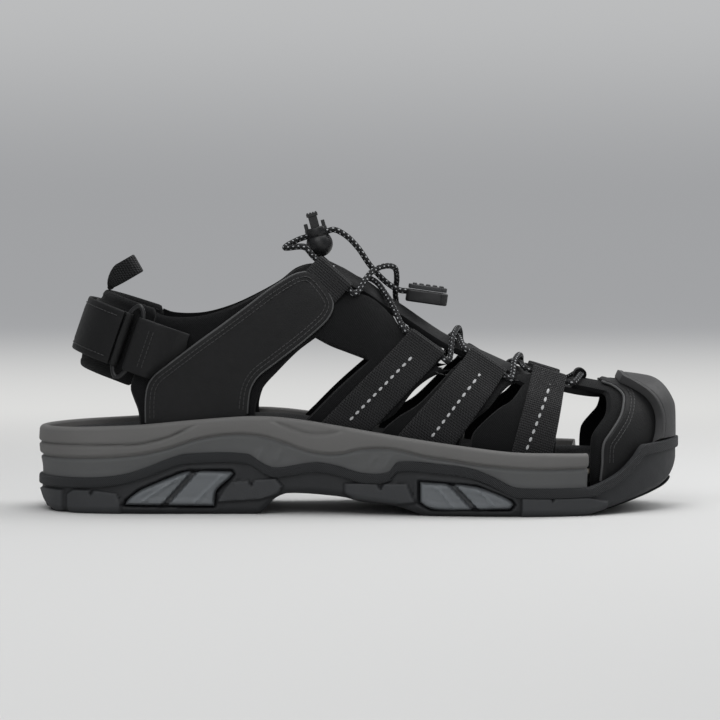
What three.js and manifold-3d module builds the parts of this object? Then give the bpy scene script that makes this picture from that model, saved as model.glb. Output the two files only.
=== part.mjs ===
import * as THREE from "three";
import { mergeVertices } from "three/addons/utils/BufferGeometryUtils.js";
import Module from "manifold-3d";

// Right-foot sandal. Millimetres, +Z up, toe towards +X, lateral side towards -Y.
const wasm = await Module();
wasm.setup();

// Overall sizes
const shoeLength = 295;
const soleWidth = 107.5;
const upperHeight = 118;
const drawnLength = 295;
const drawnWidth = 107.5;
const drawnHeight = 118;
const sx = shoeLength / drawnLength;
const sy = soleWidth / drawnWidth;
const sz = upperHeight / drawnHeight;

// Sole build
const partGap = 0.3;
const cupWall = 5;
const toeWall = 3.2;
const insertDepth = 3;
const rimWall = 4;
const recessDepth = 10;
const boardThickness = 2;
const footbedThickness = 5;
const upperInset = 8.5;
const bedClear = 1.6;
const foldHalf = 9;
const soleSkin = 4;
const treadDepth = 2.6;
const treadSlot = 3;
const midsoleFront = 103.4 * sx;

// Upper layers, measured outwards from the last
const liningOut = 2.2;
const shellIn = 2.5;
const shellOut = 4.1;
const toeCapIn = 4.4;
const toeCapOut = 7.3;
const tongueIn = -3.4;
const tongueOut = -0.4;

// Lacing
const laceRadius = 1.3;
const eyeBore = 1.85;
const eyeRadius = 2.9;
const eyeLift = 3.3;
const laceClear = 0.5;

// Heel strap, in a frame tilted forwards
const heelTilt = THREE.MathUtils.degToRad(19);
const heelOrigin = new THREE.Vector3(-94.4 * sx, 0, 74 * sz);
const heelRadius = 26.9;
const heelTurn = THREE.MathUtils.degToRad(64);
const heelFlat = 14;
const heelBack = 31.8;
const strapHalf = 12.5;
const strapSheet = 1.4;
const tapeSheet = 0.6;
const ringSheet = 1.5;
const ringLong = 36;
const ringShort = 13;
const ringRim = 2.2;
const collarThickness = 5.5;
const collarLow = -19;
const collarHigh = 18;
const collarFront = -4;

// Cord lock
const ballRadius = 6.1;
const ballDrop = 4.6;
const neckRadius = 5.2;
const cordSpacing = 1.75;
const plungerTravel = 3;
const plungerHalf = 3.7;
const plungerFit = 0.3;

function toSolid(geometry) {
  const bare = geometry.clone();
  bare.deleteAttribute("normal");
  bare.deleteAttribute("uv");
  const merged = mergeVertices(bare, 1e-4);
  const mesh = new wasm.Mesh({
    numProp: 3,
    vertProperties: new Float32Array(merged.attributes.position.array),
    triVerts: new Uint32Array(merged.index.array),
  });
  mesh.merge();
  return new wasm.Manifold(mesh);
}

function toGeometry(solid) {
  const mesh = solid.getMesh();
  const geometry = new THREE.BufferGeometry();
  geometry.setAttribute("position", new THREE.BufferAttribute(new Float32Array(mesh.vertProperties), 3));
  geometry.setIndex(new THREE.BufferAttribute(new Uint32Array(mesh.triVerts), 1));
  geometry.computeVertexNormals();
  return geometry;
}

function materialOf(color, roughness, metalness = 0) {
  return new THREE.MeshStandardMaterial({ color, roughness, metalness });
}

function place(parent, name, solid, color, roughness, metalness = 0) {
  const whole = largestBody(solid);
  const mesh = new THREE.Mesh(toGeometry(whole), materialOf(color, roughness, metalness));
  mesh.name = name;
  parent.add(mesh);
  return whole;
}

// Keeps the main body and drops the slivers that a cut leaves behind.
function largestBody(solid) {
  const bodies = solid.decompose();
  bodies.sort((a, b) => b.volume() - a.volume());
  return bodies[0];
}

function shapeOf(points) {
  return new THREE.Shape(points.map(([a, b]) => new THREE.Vector2(a, b)));
}

function extruded(shape, depth) {
  return new THREE.ExtrudeGeometry(shape, { depth, bevelEnabled: false, curveSegments: 8 });
}

function prismZ(points, z0, z1) {
  const geometry = extruded(shapeOf(points), z1 - z0);
  geometry.translate(0, 0, z0);
  return toSolid(geometry);
}

function prismY(points, y0 = -90, y1 = 90) {
  const geometry = extruded(shapeOf(points), y1 - y0);
  geometry.rotateX(Math.PI / 2);
  geometry.translate(0, y1, 0);
  return toSolid(geometry);
}

function box(x0, x1, y0, y1, z0, z1) {
  const geometry = new THREE.BoxGeometry(x1 - x0, y1 - y0, z1 - z0);
  geometry.translate((x0 + x1) / 2, (y0 + y1) / 2, (z0 + z1) / 2);
  return toSolid(geometry);
}

function rod(a, b, radius, sides = 8) {
  const span = new THREE.Vector3().subVectors(b, a);
  const geometry = new THREE.CylinderGeometry(radius, radius, span.length(), sides);
  const turn = new THREE.Quaternion().setFromUnitVectors(new THREE.Vector3(0, 1, 0), span.clone().normalize());
  geometry.applyQuaternion(turn);
  const middle = new THREE.Vector3().addVectors(a, b).multiplyScalar(0.5);
  geometry.translate(middle.x, middle.y, middle.z);
  return toSolid(geometry);
}

// The side view is drawn at the standard size and scaled here.
const side = (points) => points.map(([x, z]) => [x * sx, z * sz]);

function grow(points, distance) {
  const count = points.length;
  const signed = points.reduce((sum, p, i) => {
    const q = points[(i + 1) % count];
    return sum + p[0] * q[1] - q[0] * p[1];
  }, 0);
  const turn = Math.sign(signed);
  return points.map((p, i) => {
    const before = points[(i + count - 1) % count];
    const after = points[(i + 1) % count];
    const e1 = new THREE.Vector2(p[0] - before[0], p[1] - before[1]).normalize();
    const e2 = new THREE.Vector2(after[0] - p[0], after[1] - p[1]).normalize();
    const mid = new THREE.Vector2(e1.y + e2.y, -e1.x - e2.x).normalize();
    const stretch = Math.min(2, 1 / Math.max(0.5, mid.x * e1.y - mid.y * e1.x));
    return [p[0] + mid.x * turn * distance * stretch, p[1] + mid.y * turn * distance * stretch];
  });
}

// Value of a hand-drawn curve at x, eased between its points.
function along(points, x) {
  const last = points.length - 1;
  if (x <= points[0][0]) return points[0][1];
  if (x >= points[last][0]) return points[last][1];
  let i = 0;
  while (points[i + 1][0] < x) i += 1;
  const slope = (k) => {
    const a = points[Math.max(0, k - 1)];
    const b = points[Math.min(last, k + 1)];
    return (b[1] - a[1]) / (b[0] - a[0]);
  };
  const [x0, v0] = points[i];
  const [x1, v1] = points[i + 1];
  const h = x1 - x0;
  const t = (x - x0) / h;
  const a = v0 * (2 * t ** 3 - 3 * t ** 2 + 1) + slope(i) * h * (t ** 3 - 2 * t ** 2 + t);
  return a + v1 * (3 * t ** 2 - 2 * t ** 3) + slope(i + 1) * h * (t ** 3 - t ** 2);
}

// Plan of the sole, heel first, along the lateral side to the toe and back.
const planPoints = [
  [-147.5, 0], [-143, -17], [-130, -31.5], [-105, -38], [-70, -38.5], [-35, -39], [0, -43], [35, -49.5],
  [65, -53], [90, -50.5], [115, -40], [135, -23], [145, -6], [147.5, 8], [144, 22], [130, 38], [108, 49],
  [80, 54.5], [50, 51.5], [20, 43], [-10, 36.5], [-45, 34.5], [-80, 37], [-110, 37], [-132, 30.5], [-144, 16],
];
const planCurve = new THREE.CatmullRomCurve3(
  planPoints.map(([x, y]) => new THREE.Vector3(x * sx, y * sy, 0)), true, "centripetal");

function plan(inset, count = 48) {
  const points = [];
  for (let i = 0; i < count; i += 1) {
    const p = planCurve.getPointAt(i / count);
    const t = planCurve.getTangentAt(i / count);
    points.push([p.x - t.y * inset, p.y + t.x * inset]);
  }
  return points;
}

const rimLine = side([
  [-160, 38.2], [-145, 38.7], [-120, 39.6], [-100, 40.6], [-74, 42.9], [-51, 44.5], [-39, 44.3], [-26, 42.9],
  [-10, 40.4], [5, 37.8], [23.5, 34.9], [45.6, 31.8], [68, 29.2], [86, 28.6], [103.7, 28.2], [160, 28],
]);
const waveLine = side([
  [-160, 16], [-122, 16.3], [-108, 17.8], [-96, 21.4], [-87, 24.9], [-78.6, 27.3], [-51, 27.3], [-43.6, 22.9],
  [-38, 21.1], [-20.7, 23.6], [-10.6, 22.2], [1.4, 19], [12.4, 19.6], [17, 24.2], [39, 23.2], [50, 21.7],
  [59, 18.3], [68, 13.8], [74, 12.8], [103.4, 12.8],
]);
const toeLine = side([
  [103.4, 12.8], [107.4, 13.8], [112.5, 15.9], [119.5, 19.8], [125.5, 25.4], [129.5, 30.3], [133, 30.9], [150, 32.9],
]);
const bottomLine = side([
  [-150, 10], [-146.7, 6.5], [-144, 2], [-138, 0], [-47, 0], [-38, 7.5], [-32, 9.5], [-8, 8], [0, 6], [16, 4],
  [31, 0], [100, 0], [112, 2.5], [121, 5], [134, 9], [143, 13], [147, 19], [150, 30],
]);
const floorAt = (x) => along(rimLine, x) - recessDepth;
const raised = (line, rise) => line.map(([x, z]) => [x, z + rise]);

const endX = (line) => [line[0][0], line[line.length - 1][0]];

function above(line) {
  const [x0, x1] = endX(line);
  return prismY([...line, [x1, 260], [x0, 260]]);
}

function below(line) {
  const [x0, x1] = endX(line);
  return prismY([...line, [x1, -60], [x0, -60]]);
}

function between(lower, upper) {
  return above(lower).intersect(below(upper));
}

function floorBand(x0, x1, low, high) {
  const lower = [];
  const upper = [];
  for (let i = 0; i <= 16; i += 1) {
    const x = x0 + ((x1 - x0) * i) / 16;
    lower.push([x, floorAt(x) + low]);
    upper.push([x, floorAt(x) + high]);
  }
  return between(lower, upper);
}

// The last: a superellipse arch over straight side walls.
const ridgeLine = side([
  [-150, 172], [-75, 170], [-60, 150], [-40, 134], [-28, 123], [-15, 113.5], [-3, 108], [4, 105], [12, 99], [20, 94],
  [30, 87], [40, 80.5], [50, 76], [60, 71.5], [70, 67], [80, 63.5], [90, 61], [100, 58.5], [110, 56.5],
  [120, 55], [130, 53.6], [134, 52.4], [137, 49], [140, 43],
]);
const archPower = [[-150, 2.2], [-40, 2.0], [-15, 1.8], [20, 1.75], [50, 2.0], [90, 2.3], [140, 2.5]];
const skirtLow = 10;
const lastPlan = plan(upperInset, 160);
const lastHeel = Math.min(...lastPlan.map((p) => p[0])) + 0.3;
const lastToe = Math.max(...lastPlan.map((p) => p[0])) - 0.3;

function planSide(x, wanted) {
  let best = 0;
  let found = false;
  for (let i = 0; i < lastPlan.length; i += 1) {
    const a = lastPlan[i];
    const b = lastPlan[(i + 1) % lastPlan.length];
    if ((a[0] - x) * (b[0] - x) > 0 || a[0] === b[0]) continue;
    const y = a[1] + ((b[1] - a[1]) * (x - a[0])) / (b[0] - a[0]);
    if (!found || wanted * y > wanted * best) best = y;
    found = true;
  }
  return best;
}

function lastPoint(x, share) {
  const lateral = planSide(x, -1);
  const medial = planSide(x, 1);
  const middle = (lateral + medial) / 2;
  const half = (medial - lateral) / 2;
  const base = floorAt(x) + 3;
  const top = along(ridgeLine, x);
  const power = along(archPower.map(([a, b]) => [a * sx, b]), x);
  if (share <= 0.8) {
    const angle = (share / 0.8) * Math.PI;
    const c = Math.cos(angle);
    const s = Math.max(0, Math.sin(angle));
    const y = middle - half * Math.sign(c) * Math.abs(c) ** (2 / power);
    return new THREE.Vector3(x, y, base + (top - base) * s ** (2 / power));
  }
  const under = ((share - 0.8) / 0.2) * 6;
  if (under < 1) return new THREE.Vector3(x, medial, base + (skirtLow - base) * under);
  if (under > 5) return new THREE.Vector3(x, lateral, base + (skirtLow - base) * (6 - under));
  return new THREE.Vector3(x, medial + ((lateral - medial) * (under - 1)) / 4, skirtLow);
}

function lastNormal(x, share) {
  const dx = 0.8;
  const ds = 0.004;
  const x0 = Math.max(lastHeel, x - dx);
  const x1 = Math.min(lastToe, x + dx);
  const s0 = Math.max(0, share - ds);
  const s1 = share < 0.8 ? Math.min(0.8, share + ds) : share + ds;
  const ax = new THREE.Vector3().subVectors(lastPoint(x1, share), lastPoint(x0, share));
  const as = new THREE.Vector3().subVectors(lastPoint(x, s1), lastPoint(x, s0));
  return new THREE.Vector3().crossVectors(ax, as).normalize();
}

function skirtNormal(x, share) {
  const under = ((share - 0.8) / 0.2) * 6;
  const sideways = under <= 1 ? 1 : under >= 5 ? -1 : 0;
  const ref = lastNormal(x, under <= 1 ? 0.799 : 0.001);
  if (sideways === 0) return new THREE.Vector3(0, 0, -1);
  return new THREE.Vector3(ref.x, ref.y, 0).normalize();
}

function offsetPoint(x, share, n) {
  const p = lastPoint(x, share);
  const flat = share < 0.012 || share > 0.788;
  const wall = share < 0.4 ? lastNormal(x, 0.03) : lastNormal(x, 0.77);
  const normal = share > 0.8 ? skirtNormal(x, share) : flat ? new THREE.Vector3(wall.x, wall.y, 0).normalize()
    : lastNormal(x, share);
  return p.addScaledVector(normal, n);
}

const ringCount = 30;
const stationCount = 30;
function lastSolid(n) {
  const geometry = new THREE.CylinderGeometry(1, 1, 1, ringCount, stationCount);
  const position = geometry.attributes.position;
  for (let i = 0; i < position.count; i += 1) {
    const s = THREE.MathUtils.clamp(position.getY(i) + 0.5, 0, 1);
    const eased = 0.55 * (0.5 - 0.5 * Math.cos(Math.PI * s)) + 0.45 * s;
    const x = lastHeel + (lastToe - lastHeel) * eased;
    const radial = Math.hypot(position.getX(i), position.getZ(i));
    const turn = Math.atan2(position.getX(i), position.getZ(i)) / (2 * Math.PI);
    const share = Math.round(((turn % 1) + 1) * ringCount) % ringCount / ringCount;
    const p = offsetPoint(x, share, n);
    const hub = new THREE.Vector3(x, (planSide(x, -1) + planSide(x, 1)) / 2, 25 * sz);
    hub.x += s < 0.5 ? -n : n;
    if (s < 1e-6 || s > 1 - 1e-6) p.x = hub.x;
    const q = radial < 0.5 ? hub : p;
    position.setXYZ(i, q.x, q.y, q.z);
  }
  const solid = toSolid(geometry);
  if (solid.volume() > 0) return solid;
  geometry.index.array.forEach((v, i, list) => {
    if (i % 3 === 0) [list[i], list[i + 1]] = [list[i + 1], list[i]];
  });
  return toSolid(geometry);
}

const layers = new Map();
function last(n) {
  if (!layers.has(n)) layers.set(n, lastSolid(n));
  return layers.get(n);
}
const shell = (inner, outer) => last(outer).subtract(last(inner));

// Finds the place on the last at station x and height z, on one side.
function onLast(x, z, n, hand) {
  let low = 0;
  let high = 0.4;
  for (let i = 0; i < 30; i += 1) {
    const mid = (low + high) / 2;
    const share = hand < 0 ? mid : 0.8 - mid;
    if (offsetPoint(x, share, n).z < z) low = mid;
    else high = mid;
  }
  const found = Math.min(low, 0.345);
  return { x, share: hand < 0 ? found : 0.8 - found };
}

const halfSpace = (hand) => (hand < 0 ? box(-200, 200, -90, 0, -10, 220) : box(-200, 200, 0, 90, -10, 220));

const sandal = new THREE.Group();
sandal.name = "sport_sandal";
const body = new THREE.Group();
sandal.add(body);

// ---- Sole stack
const RUBBER = 0x26282b;
const GREY = 0x9ba1a6;
const FOAM = 0xb9b8b4;
const LEATHER = 0x1d1e20;
const LINING = 0x17181a;
const WEBBING = 0x202226;

const heelInsertSide = side([
  [-106.5, 4.1], [-105.6, 6.2], [-99.9, 10.7], [-91.7, 14.3], [-81.6, 18.4], [-77.5, 19.5], [-58.3, 19.5],
  [-57.3, 18.3], [-58.8, 16.3], [-62.3, 13.3], [-65.1, 10.2], [-65.9, 3.7],
]);
const foreInsertSide = side([
  [26.7, 15.5], [52.3, 13.5], [67.8, 7.2], [68.9, 5.5], [67.2, 3.4], [31.3, 3.4], [26.7, 6.1],
]);

function insertSolid(outline, hand, clearance) {
  const profile = prismY(clearance ? grow(outline, clearance) : outline);
  const rim = prismZ(plan(-1), 0, 40).subtract(prismZ(plan(insertDepth + clearance), -1, 41));
  const skin = clearance ? rim : rim.intersect(prismZ(plan(0), 0, 40));
  return largestBody(skin.intersect(profile).intersect(halfSpace(hand)));
}

function buildOutsole() {
  const top = [...waveLine, ...toeLine.slice(1)];
  const block = prismZ(plan(0), -2, 60).intersect(between(bottomLine, top));
  const cavity = prismZ(plan(cupWall), -2, 60).intersect(between(raised(bottomLine, soleSkin), raised(bottomLine, 80)));
  const toeRoom = prismZ(plan(toeWall), 13 * sz, 60).intersect(box(midsoleFront, 200, -90, 90, 0, 60));
  let solid = block.subtract(cavity).subtract(toeRoom);
  for (const x of [-134.5, -121, -107.5, -94, -80.5, -67, -56, 41, 55.5, 70, 84, 97]) {
    const slot = box((x - treadSlot / 2) * sx, (x + treadSlot / 2) * sx, -90, 90, -5, treadDepth);
    solid = solid.subtract(slot);
  }
  for (const hand of [-1, 1]) {
    solid = solid.subtract(insertSolid(heelInsertSide, hand, partGap));
    solid = solid.subtract(insertSolid(foreInsertSide, hand, partGap));
  }
  return solid;
}

function buildMidsole() {
  const visible = prismZ(plan(0), 0, 60).intersect(between(raised(waveLine, partGap), rimLine))
    .intersect(box(-200, midsoleFront, -90, 90, 0, 80));
  const coreTop = [];
  for (let i = 0; i <= 20; i += 1) {
    const x = (-150 + i * 15) * sx;
    coreTop.push([x, x < midsoleFront ? floorAt(x) : 12.6 * sz]);
  }
  const core = prismZ(plan(cupWall + partGap), 0, 60)
    .intersect(between(raised(bottomLine, soleSkin + partGap), coreTop));
  const nose = prismZ(plan(upperInset + bedClear), 8 * sz, 60)
    .intersect(floorBand(96 * sx, 150 * sx, -8, 0)).intersect(above(raised(bottomLine, soleSkin + partGap)));
  const recess = prismZ(plan(rimWall), 0, 60).intersect(floorBand(-150 * sx, 110 * sx, 0, 30));
  return visible.add(core).subtract(recess).add(nose);
}

function innerSheet(wide, low, high) {
  const rear = prismZ(plan(wide), 0, 60).intersect(box(-200, 103.1 * sx, -90, 90, 0, 80));
  const front = prismZ(plan(upperInset + bedClear), 0, 60);
  return rear.add(front).intersect(floorBand(-150 * sx, 150 * sx, low, high));
}

place(body, "outsole", buildOutsole(), RUBBER, 0.75);
for (const [hand, word] of [[-1, "lateral"], [1, "medial"]]) {
  place(body, `heel_insert_${word}`, insertSolid(heelInsertSide, hand, 0), GREY, 0.5);
  place(body, `forefoot_insert_${word}`, insertSolid(foreInsertSide, hand, 0), GREY, 0.5);
}
place(body, "midsole", buildMidsole(), FOAM, 0.8);
const boardLow = partGap;
const boardHigh = boardLow + boardThickness;
const footbedLow = boardHigh + partGap;
place(body, "strobel_board", innerSheet(cupWall + partGap, boardLow, boardHigh), 0x8f8a80, 0.9);
place(body, "footbed", prismZ(plan(upperInset + bedClear), 0, 90)
  .intersect(floorBand(-150 * sx, 150 * sx, footbedLow, footbedLow + footbedThickness)), 0x2b2d30, 0.9);

// ---- Room that the upper leaves for its neighbours
const boardRoom = floorBand(-150 * sx, 103.7 * sx, -60, footbedLow)
  .add(box(103.6 * sx, 200, -90, 90, -20, 14 * sz));

// ---- Laces
const strapTops = [
  { name: "ankle", rear: [-21, 114.5], front: [-5.6, 101.3] },
  { name: "instep", rear: [21.6, 81.4], front: [36.6, 70.8] },
  { name: "middle", rear: [49.2, 72.6], front: [64.6, 62.6] },
  { name: "toe", rear: [77.6, 64.2], front: [92.5, 59.6] },
];

function eyeEnds(top, hand) {
  const rear = onLast(top.rear[0] * sx, top.rear[1] * sz, eyeLift, hand);
  const front = onLast(top.front[0] * sx, top.front[1] * sz, eyeLift, hand);
  return {
    rear, front,
    a: offsetPoint(rear.x, rear.share, eyeLift),
    b: offsetPoint(front.x, front.share, eyeLift),
  };
}
const eyes = strapTops.map((top) => ({ name: top.name, "-1": eyeEnds(top, -1), 1: eyeEnds(top, 1) }));

const lockTurn = THREE.MathUtils.degToRad(-15);
const lockCentre = new THREE.Vector3(-19.8 * sx, 0, 126.2 * sz);
const lockForward = new THREE.Vector3(Math.cos(lockTurn), 0, -Math.sin(lockTurn));
const tabCentre = new THREE.Vector3(31 * sx, 0, 98.6 * sz);
const tabTurn = THREE.MathUtils.degToRad(8);
const tabForward = new THREE.Vector3(Math.cos(tabTurn), 0, -Math.sin(tabTurn));
const anchorX = 101 * sx;
const anchorShare = 0.4;

function tailPoints(hand) {
  const y = hand * cordSpacing;
  const at = (base, forward, d) => base.clone().addScaledVector(forward, d).setY(y);
  const tabMouth = at(tabCentre, tabForward, -10);
  const eye = eyes[0][hand];
  const back = new THREE.Vector3().subVectors(eye.a, eye.b).normalize();
  return [
    at(tabCentre, tabForward, -4), at(tabCentre, tabForward, -7), tabMouth, at(tabCentre, tabForward, -13),
    new THREE.Vector3(12.6 * sx, y, 103.6 * sz), new THREE.Vector3(5 * sx, y, 111.4 * sz),
    new THREE.Vector3(-1 * sx, y, 120 * sz), new THREE.Vector3(-6.6 * sx, y, 125.6 * sz),
    at(lockCentre, lockForward, 8), at(lockCentre, lockForward, 4), at(lockCentre, lockForward, 0),
    at(lockCentre, lockForward, -7),
    at(lockCentre, lockForward, -10).add(new THREE.Vector3(0, hand * 0.8, -0.4)),
    new THREE.Vector3(-34.5 * sx, hand * 7.5, 120 * sz),
    eye.a.clone().addScaledVector(back, 8).add(new THREE.Vector3(0, hand * 0.5, 0.5)),
    eye.a.clone().addScaledVector(back, 3),
  ];
}

function tunnelPoints(eye) {
  const forward = new THREE.Vector3().subVectors(eye.b, eye.a).normalize();
  return [
    eye.a.clone(), new THREE.Vector3().addVectors(eye.a, eye.b).multiplyScalar(0.5), eye.b.clone(),
    eye.b.clone().addScaledVector(forward, 3.4),
  ];
}

function crossing(from, to, lift, extra) {
  const points = [];
  for (const t of [0.26, 0.38, 0.5, 0.62, 0.74]) {
    const x = from.front.x + 2 + (to.rear.x - from.front.x - 4) * t;
    const share = from.front.share + (to.rear.share - from.front.share) * t;
    const arch = Math.sin(Math.PI * (t - 0.08) / 0.84);
    const p = offsetPoint(x, share, eyeLift + (lift - eyeLift) * Math.min(1, arch * 1.15));
    p.x += extra * Math.max(0, arch) ** 3;
    p.z += extra * Math.max(0, arch) ** 3;
    points.push(p);
  }
  return points;
}

function lacePoints(first) {
  const points = tailPoints(first);
  let hand = first;
  for (let k = 0; k < eyes.length; k += 1) {
    points.push(...tunnelPoints(eyes[k][hand]));
    if (k === eyes.length - 1) break;
    const over = hand < 0;
    const next = eyes[k + 1][-hand];
    const top = k === 0 && over;
    points.push(...crossing(eyes[k][hand], next, over ? 4.6 : 1.3, top ? 5.2 : 0));
    const forward = new THREE.Vector3().subVectors(next.b, next.a).normalize();
    points.push(next.a.clone().addScaledVector(forward, -2.4));
    hand = -hand;
  }
  const reach = hand * 8.5;
  const anchor = offsetPoint(anchorX, anchorShare, eyeLift);
  points.push(new THREE.Vector3(anchor.x - 0.6, anchor.y + reach + hand * 3.4, anchor.z + 0.1));
  points.push(new THREE.Vector3(anchor.x, anchor.y + reach, anchor.z));
  points.push(new THREE.Vector3(anchor.x, anchor.y + hand * 1, anchor.z));
  return points;
}

function tube(points, radius, steps, sides) {
  const curve = new THREE.CatmullRomCurve3(points, false, "centripetal");
  const ring = [];
  for (let i = 0; i < sides; i += 1) {
    const a = (2 * Math.PI * i) / sides;
    ring.push([radius * Math.cos(a), radius * Math.sin(a)]);
  }
  return toSolid(new THREE.ExtrudeGeometry(shapeOf(ring), { steps, bevelEnabled: false, extrudePath: curve }));
}
const laceSteps = 66;
const laces = [-1, 1].map((hand) => tube(lacePoints(hand), laceRadius, laceSteps, 6));
const laceRoom = [-1, 1].map((hand) => tube(lacePoints(hand), laceRadius + laceClear, laceSteps, 6));
const allLaceRoom = laceRoom[0].add(laceRoom[1]);

// ---- Heel frame helpers
function inHeelFrame(solid) {
  const turn = new THREE.Matrix4().makeRotationY(heelTilt);
  turn.setPosition(heelOrigin);
  return solid.transform(turn.elements);
}

function heelPath(s) {
  const hand = Math.sign(s) || 1;
  let rest = Math.abs(s);
  let heading = 0;
  let x = -heelBack;
  let y = 0;
  for (const [turn, length] of [[heelTurn, heelRadius * heelTurn], [0, heelFlat],
    [Math.PI / 2 - heelTurn, heelRadius * (Math.PI / 2 - heelTurn)], [0, 200]]) {
    const step = Math.min(rest, length);
    const angle = turn ? step / heelRadius : 0;
    if (turn) {
      x += heelRadius * (Math.cos(heading) - Math.cos(heading + angle));
      y += heelRadius * (Math.sin(heading + angle) - Math.sin(heading));
    } else {
      x += step * Math.sin(heading);
      y += step * Math.cos(heading);
    }
    heading += angle;
    rest -= step;
    if (rest <= 0) break;
  }
  return { x, y: -hand * y, nx: -Math.cos(heading), ny: -hand * Math.sin(heading), tx: Math.sin(heading),
    ty: -hand * Math.cos(heading) };
}

function band(s0, s1, d0, d1, z0, z1) {
  const count = Math.max(2, Math.round(Math.abs(s1 - s0) / 4));
  const inner = [];
  const outer = [];
  for (let i = 0; i <= count; i += 1) {
    const p = heelPath(s0 + ((s1 - s0) * i) / count);
    inner.push([p.x + p.nx * d0, p.y + p.ny * d0]);
    outer.push([p.x + p.nx * d1, p.y + p.ny * d1]);
  }
  return prismZ([...inner, ...outer.reverse()], z0, z1);
}

const ringMiddle = heelRadius * heelTurn + heelFlat / 2;
const sheet1 = strapSheet;
const tape1 = sheet1 + partGap;
const tape2 = tape1 + tapeSheet + partGap;
const flapIn = tape2 + tapeSheet + partGap;
const flapOut = flapIn + strapSheet;
const legStart = heelRadius * Math.PI / 2 + heelFlat;
const legX = heelPath(legStart).x;
const atLegX = (x) => legStart + x - legX;

function foldAt(s, opens) {
  const p = heelPath(s);
  const middle = flapOut / 2;
  const shape = [];
  for (let i = 0; i <= 8; i += 1) {
    const a = -Math.PI / 2 + (Math.PI * i) / 8;
    shape.push([opens * Math.cos(a) * middle, middle + Math.sin(a) * middle]);
  }
  for (let i = 8; i >= 0; i -= 1) {
    const a = -Math.PI / 2 + (Math.PI * i) / 8;
    const inner = middle - strapSheet;
    shape.push([opens * Math.cos(a) * inner, middle + Math.sin(a) * inner]);
  }
  const points = shape.map(([t, d]) => [p.x + p.tx * t + p.nx * d, p.y + p.ty * t + p.ny * d]);
  return prismZ(points, -foldHalf, foldHalf);
}

// ---- Upper outlines, side view
const quarterSide = side([
  [-96.8, 30], [-96.3, 56.2], [-93.6, 61.8], [-87, 67.3], [-76, 75.6], [-55.8, 90.4], [-37.3, 104.2], [-30, 108.3],
  [-24.4, 108.8], [-18, 103.3], [-12.9, 95], [-14.3, 89.4], [-23.5, 80.2], [-37.3, 69.2], [-46.6, 61.8],
  [-49.8, 56.2], [-51.2, 44.7], [-52, 30],
]);
const liningSide = side([
  [-99.5, 28], [-100.5, 46.1], [-102.8, 52.6], [-107.4, 58.1], [-112, 63], [-112, 98], [-95, 94], [-88, 89.6],
  [-74.2, 89.4], [-60.4, 93.1], [-46.6, 99.6], [-37.3, 105.1], [-29, 111.5], [-20, 113], [-9, 102], [3, 98.6],
  [14.8, 88.7], [19, 82.5], [31, 71.5], [36, 66.5], [41, 66], [46, 70], [60, 64.5], [72, 63], [82, 62.4], [90, 58.6], [88.5, 45], [88, 26],
]);
const windows = [
  side([[-46, 20], [-47.5, 45.2], [-46.6, 50.7], [-43.8, 57.2], [-37.3, 64.5], [-28.1, 73.8], [-20.3, 79.8],
    [-13.7, 76.3], [-5, 73], [4, 69.7], [-9.9, 57.2], [-20.3, 46.7], [-26, 40.5], [-27, 20]]),
  side([[9, 20], [9.5, 36.8], [16.8, 44], [26, 50], [36, 60], [42.5, 68.6], [33, 64], [25, 57], [15.9, 45.8],
    [5.4, 38], [4.5, 20]]),
  side([[49.5, 20], [50.5, 36.4], [55, 42], [63, 49], [68, 52], [74.6, 59.5], [70, 61.5], [64, 56], [57.8, 48.6],
    [51, 42.9], [46.5, 36.4], [45, 20]]),
];
const strapSides = [
  side([[-25.2, 112.4], [-21, 114.5], [-5.6, 101.3], [-10.6, 94.2], [-12.6, 95.6], [-17.6, 103.7], [-24.2, 109.2]]),
  side([[21.6, 81.4], [36.6, 70.8], [23, 57], [5.4, 37.7], [5, 26], [-15.5, 26], [-14.8, 43.8]]),
  side([[49.2, 72.6], [64.6, 62.6], [43.3, 32.3], [43, 20], [20, 20], [20.6, 39.2]]),
  side([[77.6, 64.2], [92.5, 59.6], [88, 42], [85.9, 28.6], [85.9, 18], [68.2, 18], [68.2, 29.5]]),
];
const toeLiningSide = side([
  [95, 75], [96.8, 56.3], [107.5, 55], [111.8, 53.4], [112.5, 50.8], [111.5, 44.9], [108.5, 40.8], [105, 35.9],
  [104.2, 31.8], [104, 10], [160, 10], [160, 75],
]);
const vampSide = side([
  [107.5, 75], [110.5, 58.4], [114.5, 57.3], [117.5, 55.3], [119.3, 52.8], [118.8, 48.9], [117, 43.8],
  [112.5, 37.3], [109, 32.4], [108.2, 28.9], [108, 22.9], [107, 10], [160, 10], [160, 75],
]);
const toeCapSide = side([
  [113.5, 75], [117.6, 60.5], [122.5, 57.6], [127.5, 53.8], [130.5, 49.2], [132, 42.9], [131.5, 35.4], [130.3, 31.6],
  [133, 31.6], [151, 33.6], [160, 34], [160, 75],
]);

// ---- Upper
const collarBlock = inHeelFrame(box(-80, collarFront + partGap, -60, 60, collarLow - partGap, 60));
const eyeRoom = eyes.flatMap((eye) => [-1, 1].map((hand) => rod(
  eye[hand].a.clone().addScaledVector(new THREE.Vector3().subVectors(eye[hand].a, eye[hand].b).normalize(), 0.4),
  eye[hand].b.clone().addScaledVector(new THREE.Vector3().subVectors(eye[hand].b, eye[hand].a).normalize(), 0.4),
  eyeRadius + partGap)));
const mouthLength = 6;
const mouthRoom = eyes.flatMap((eye) => [-1, 1].map((hand) => {
  const reach = new THREE.Vector3().subVectors(eye[hand].b, eye[hand].a).setLength(mouthLength);
  return rod(eye[hand].a.clone().sub(reach), eye[hand].b.clone().add(reach), laceRadius + 2 * laceClear);
}));
const everyEye = wasm.Manifold.union([...eyeRoom, ...mouthRoom]);

function sewn(layer, outline, hand) {
  return layer.intersect(prismY(outline)).intersect(halfSpace(hand)).subtract(boardRoom);
}

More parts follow.
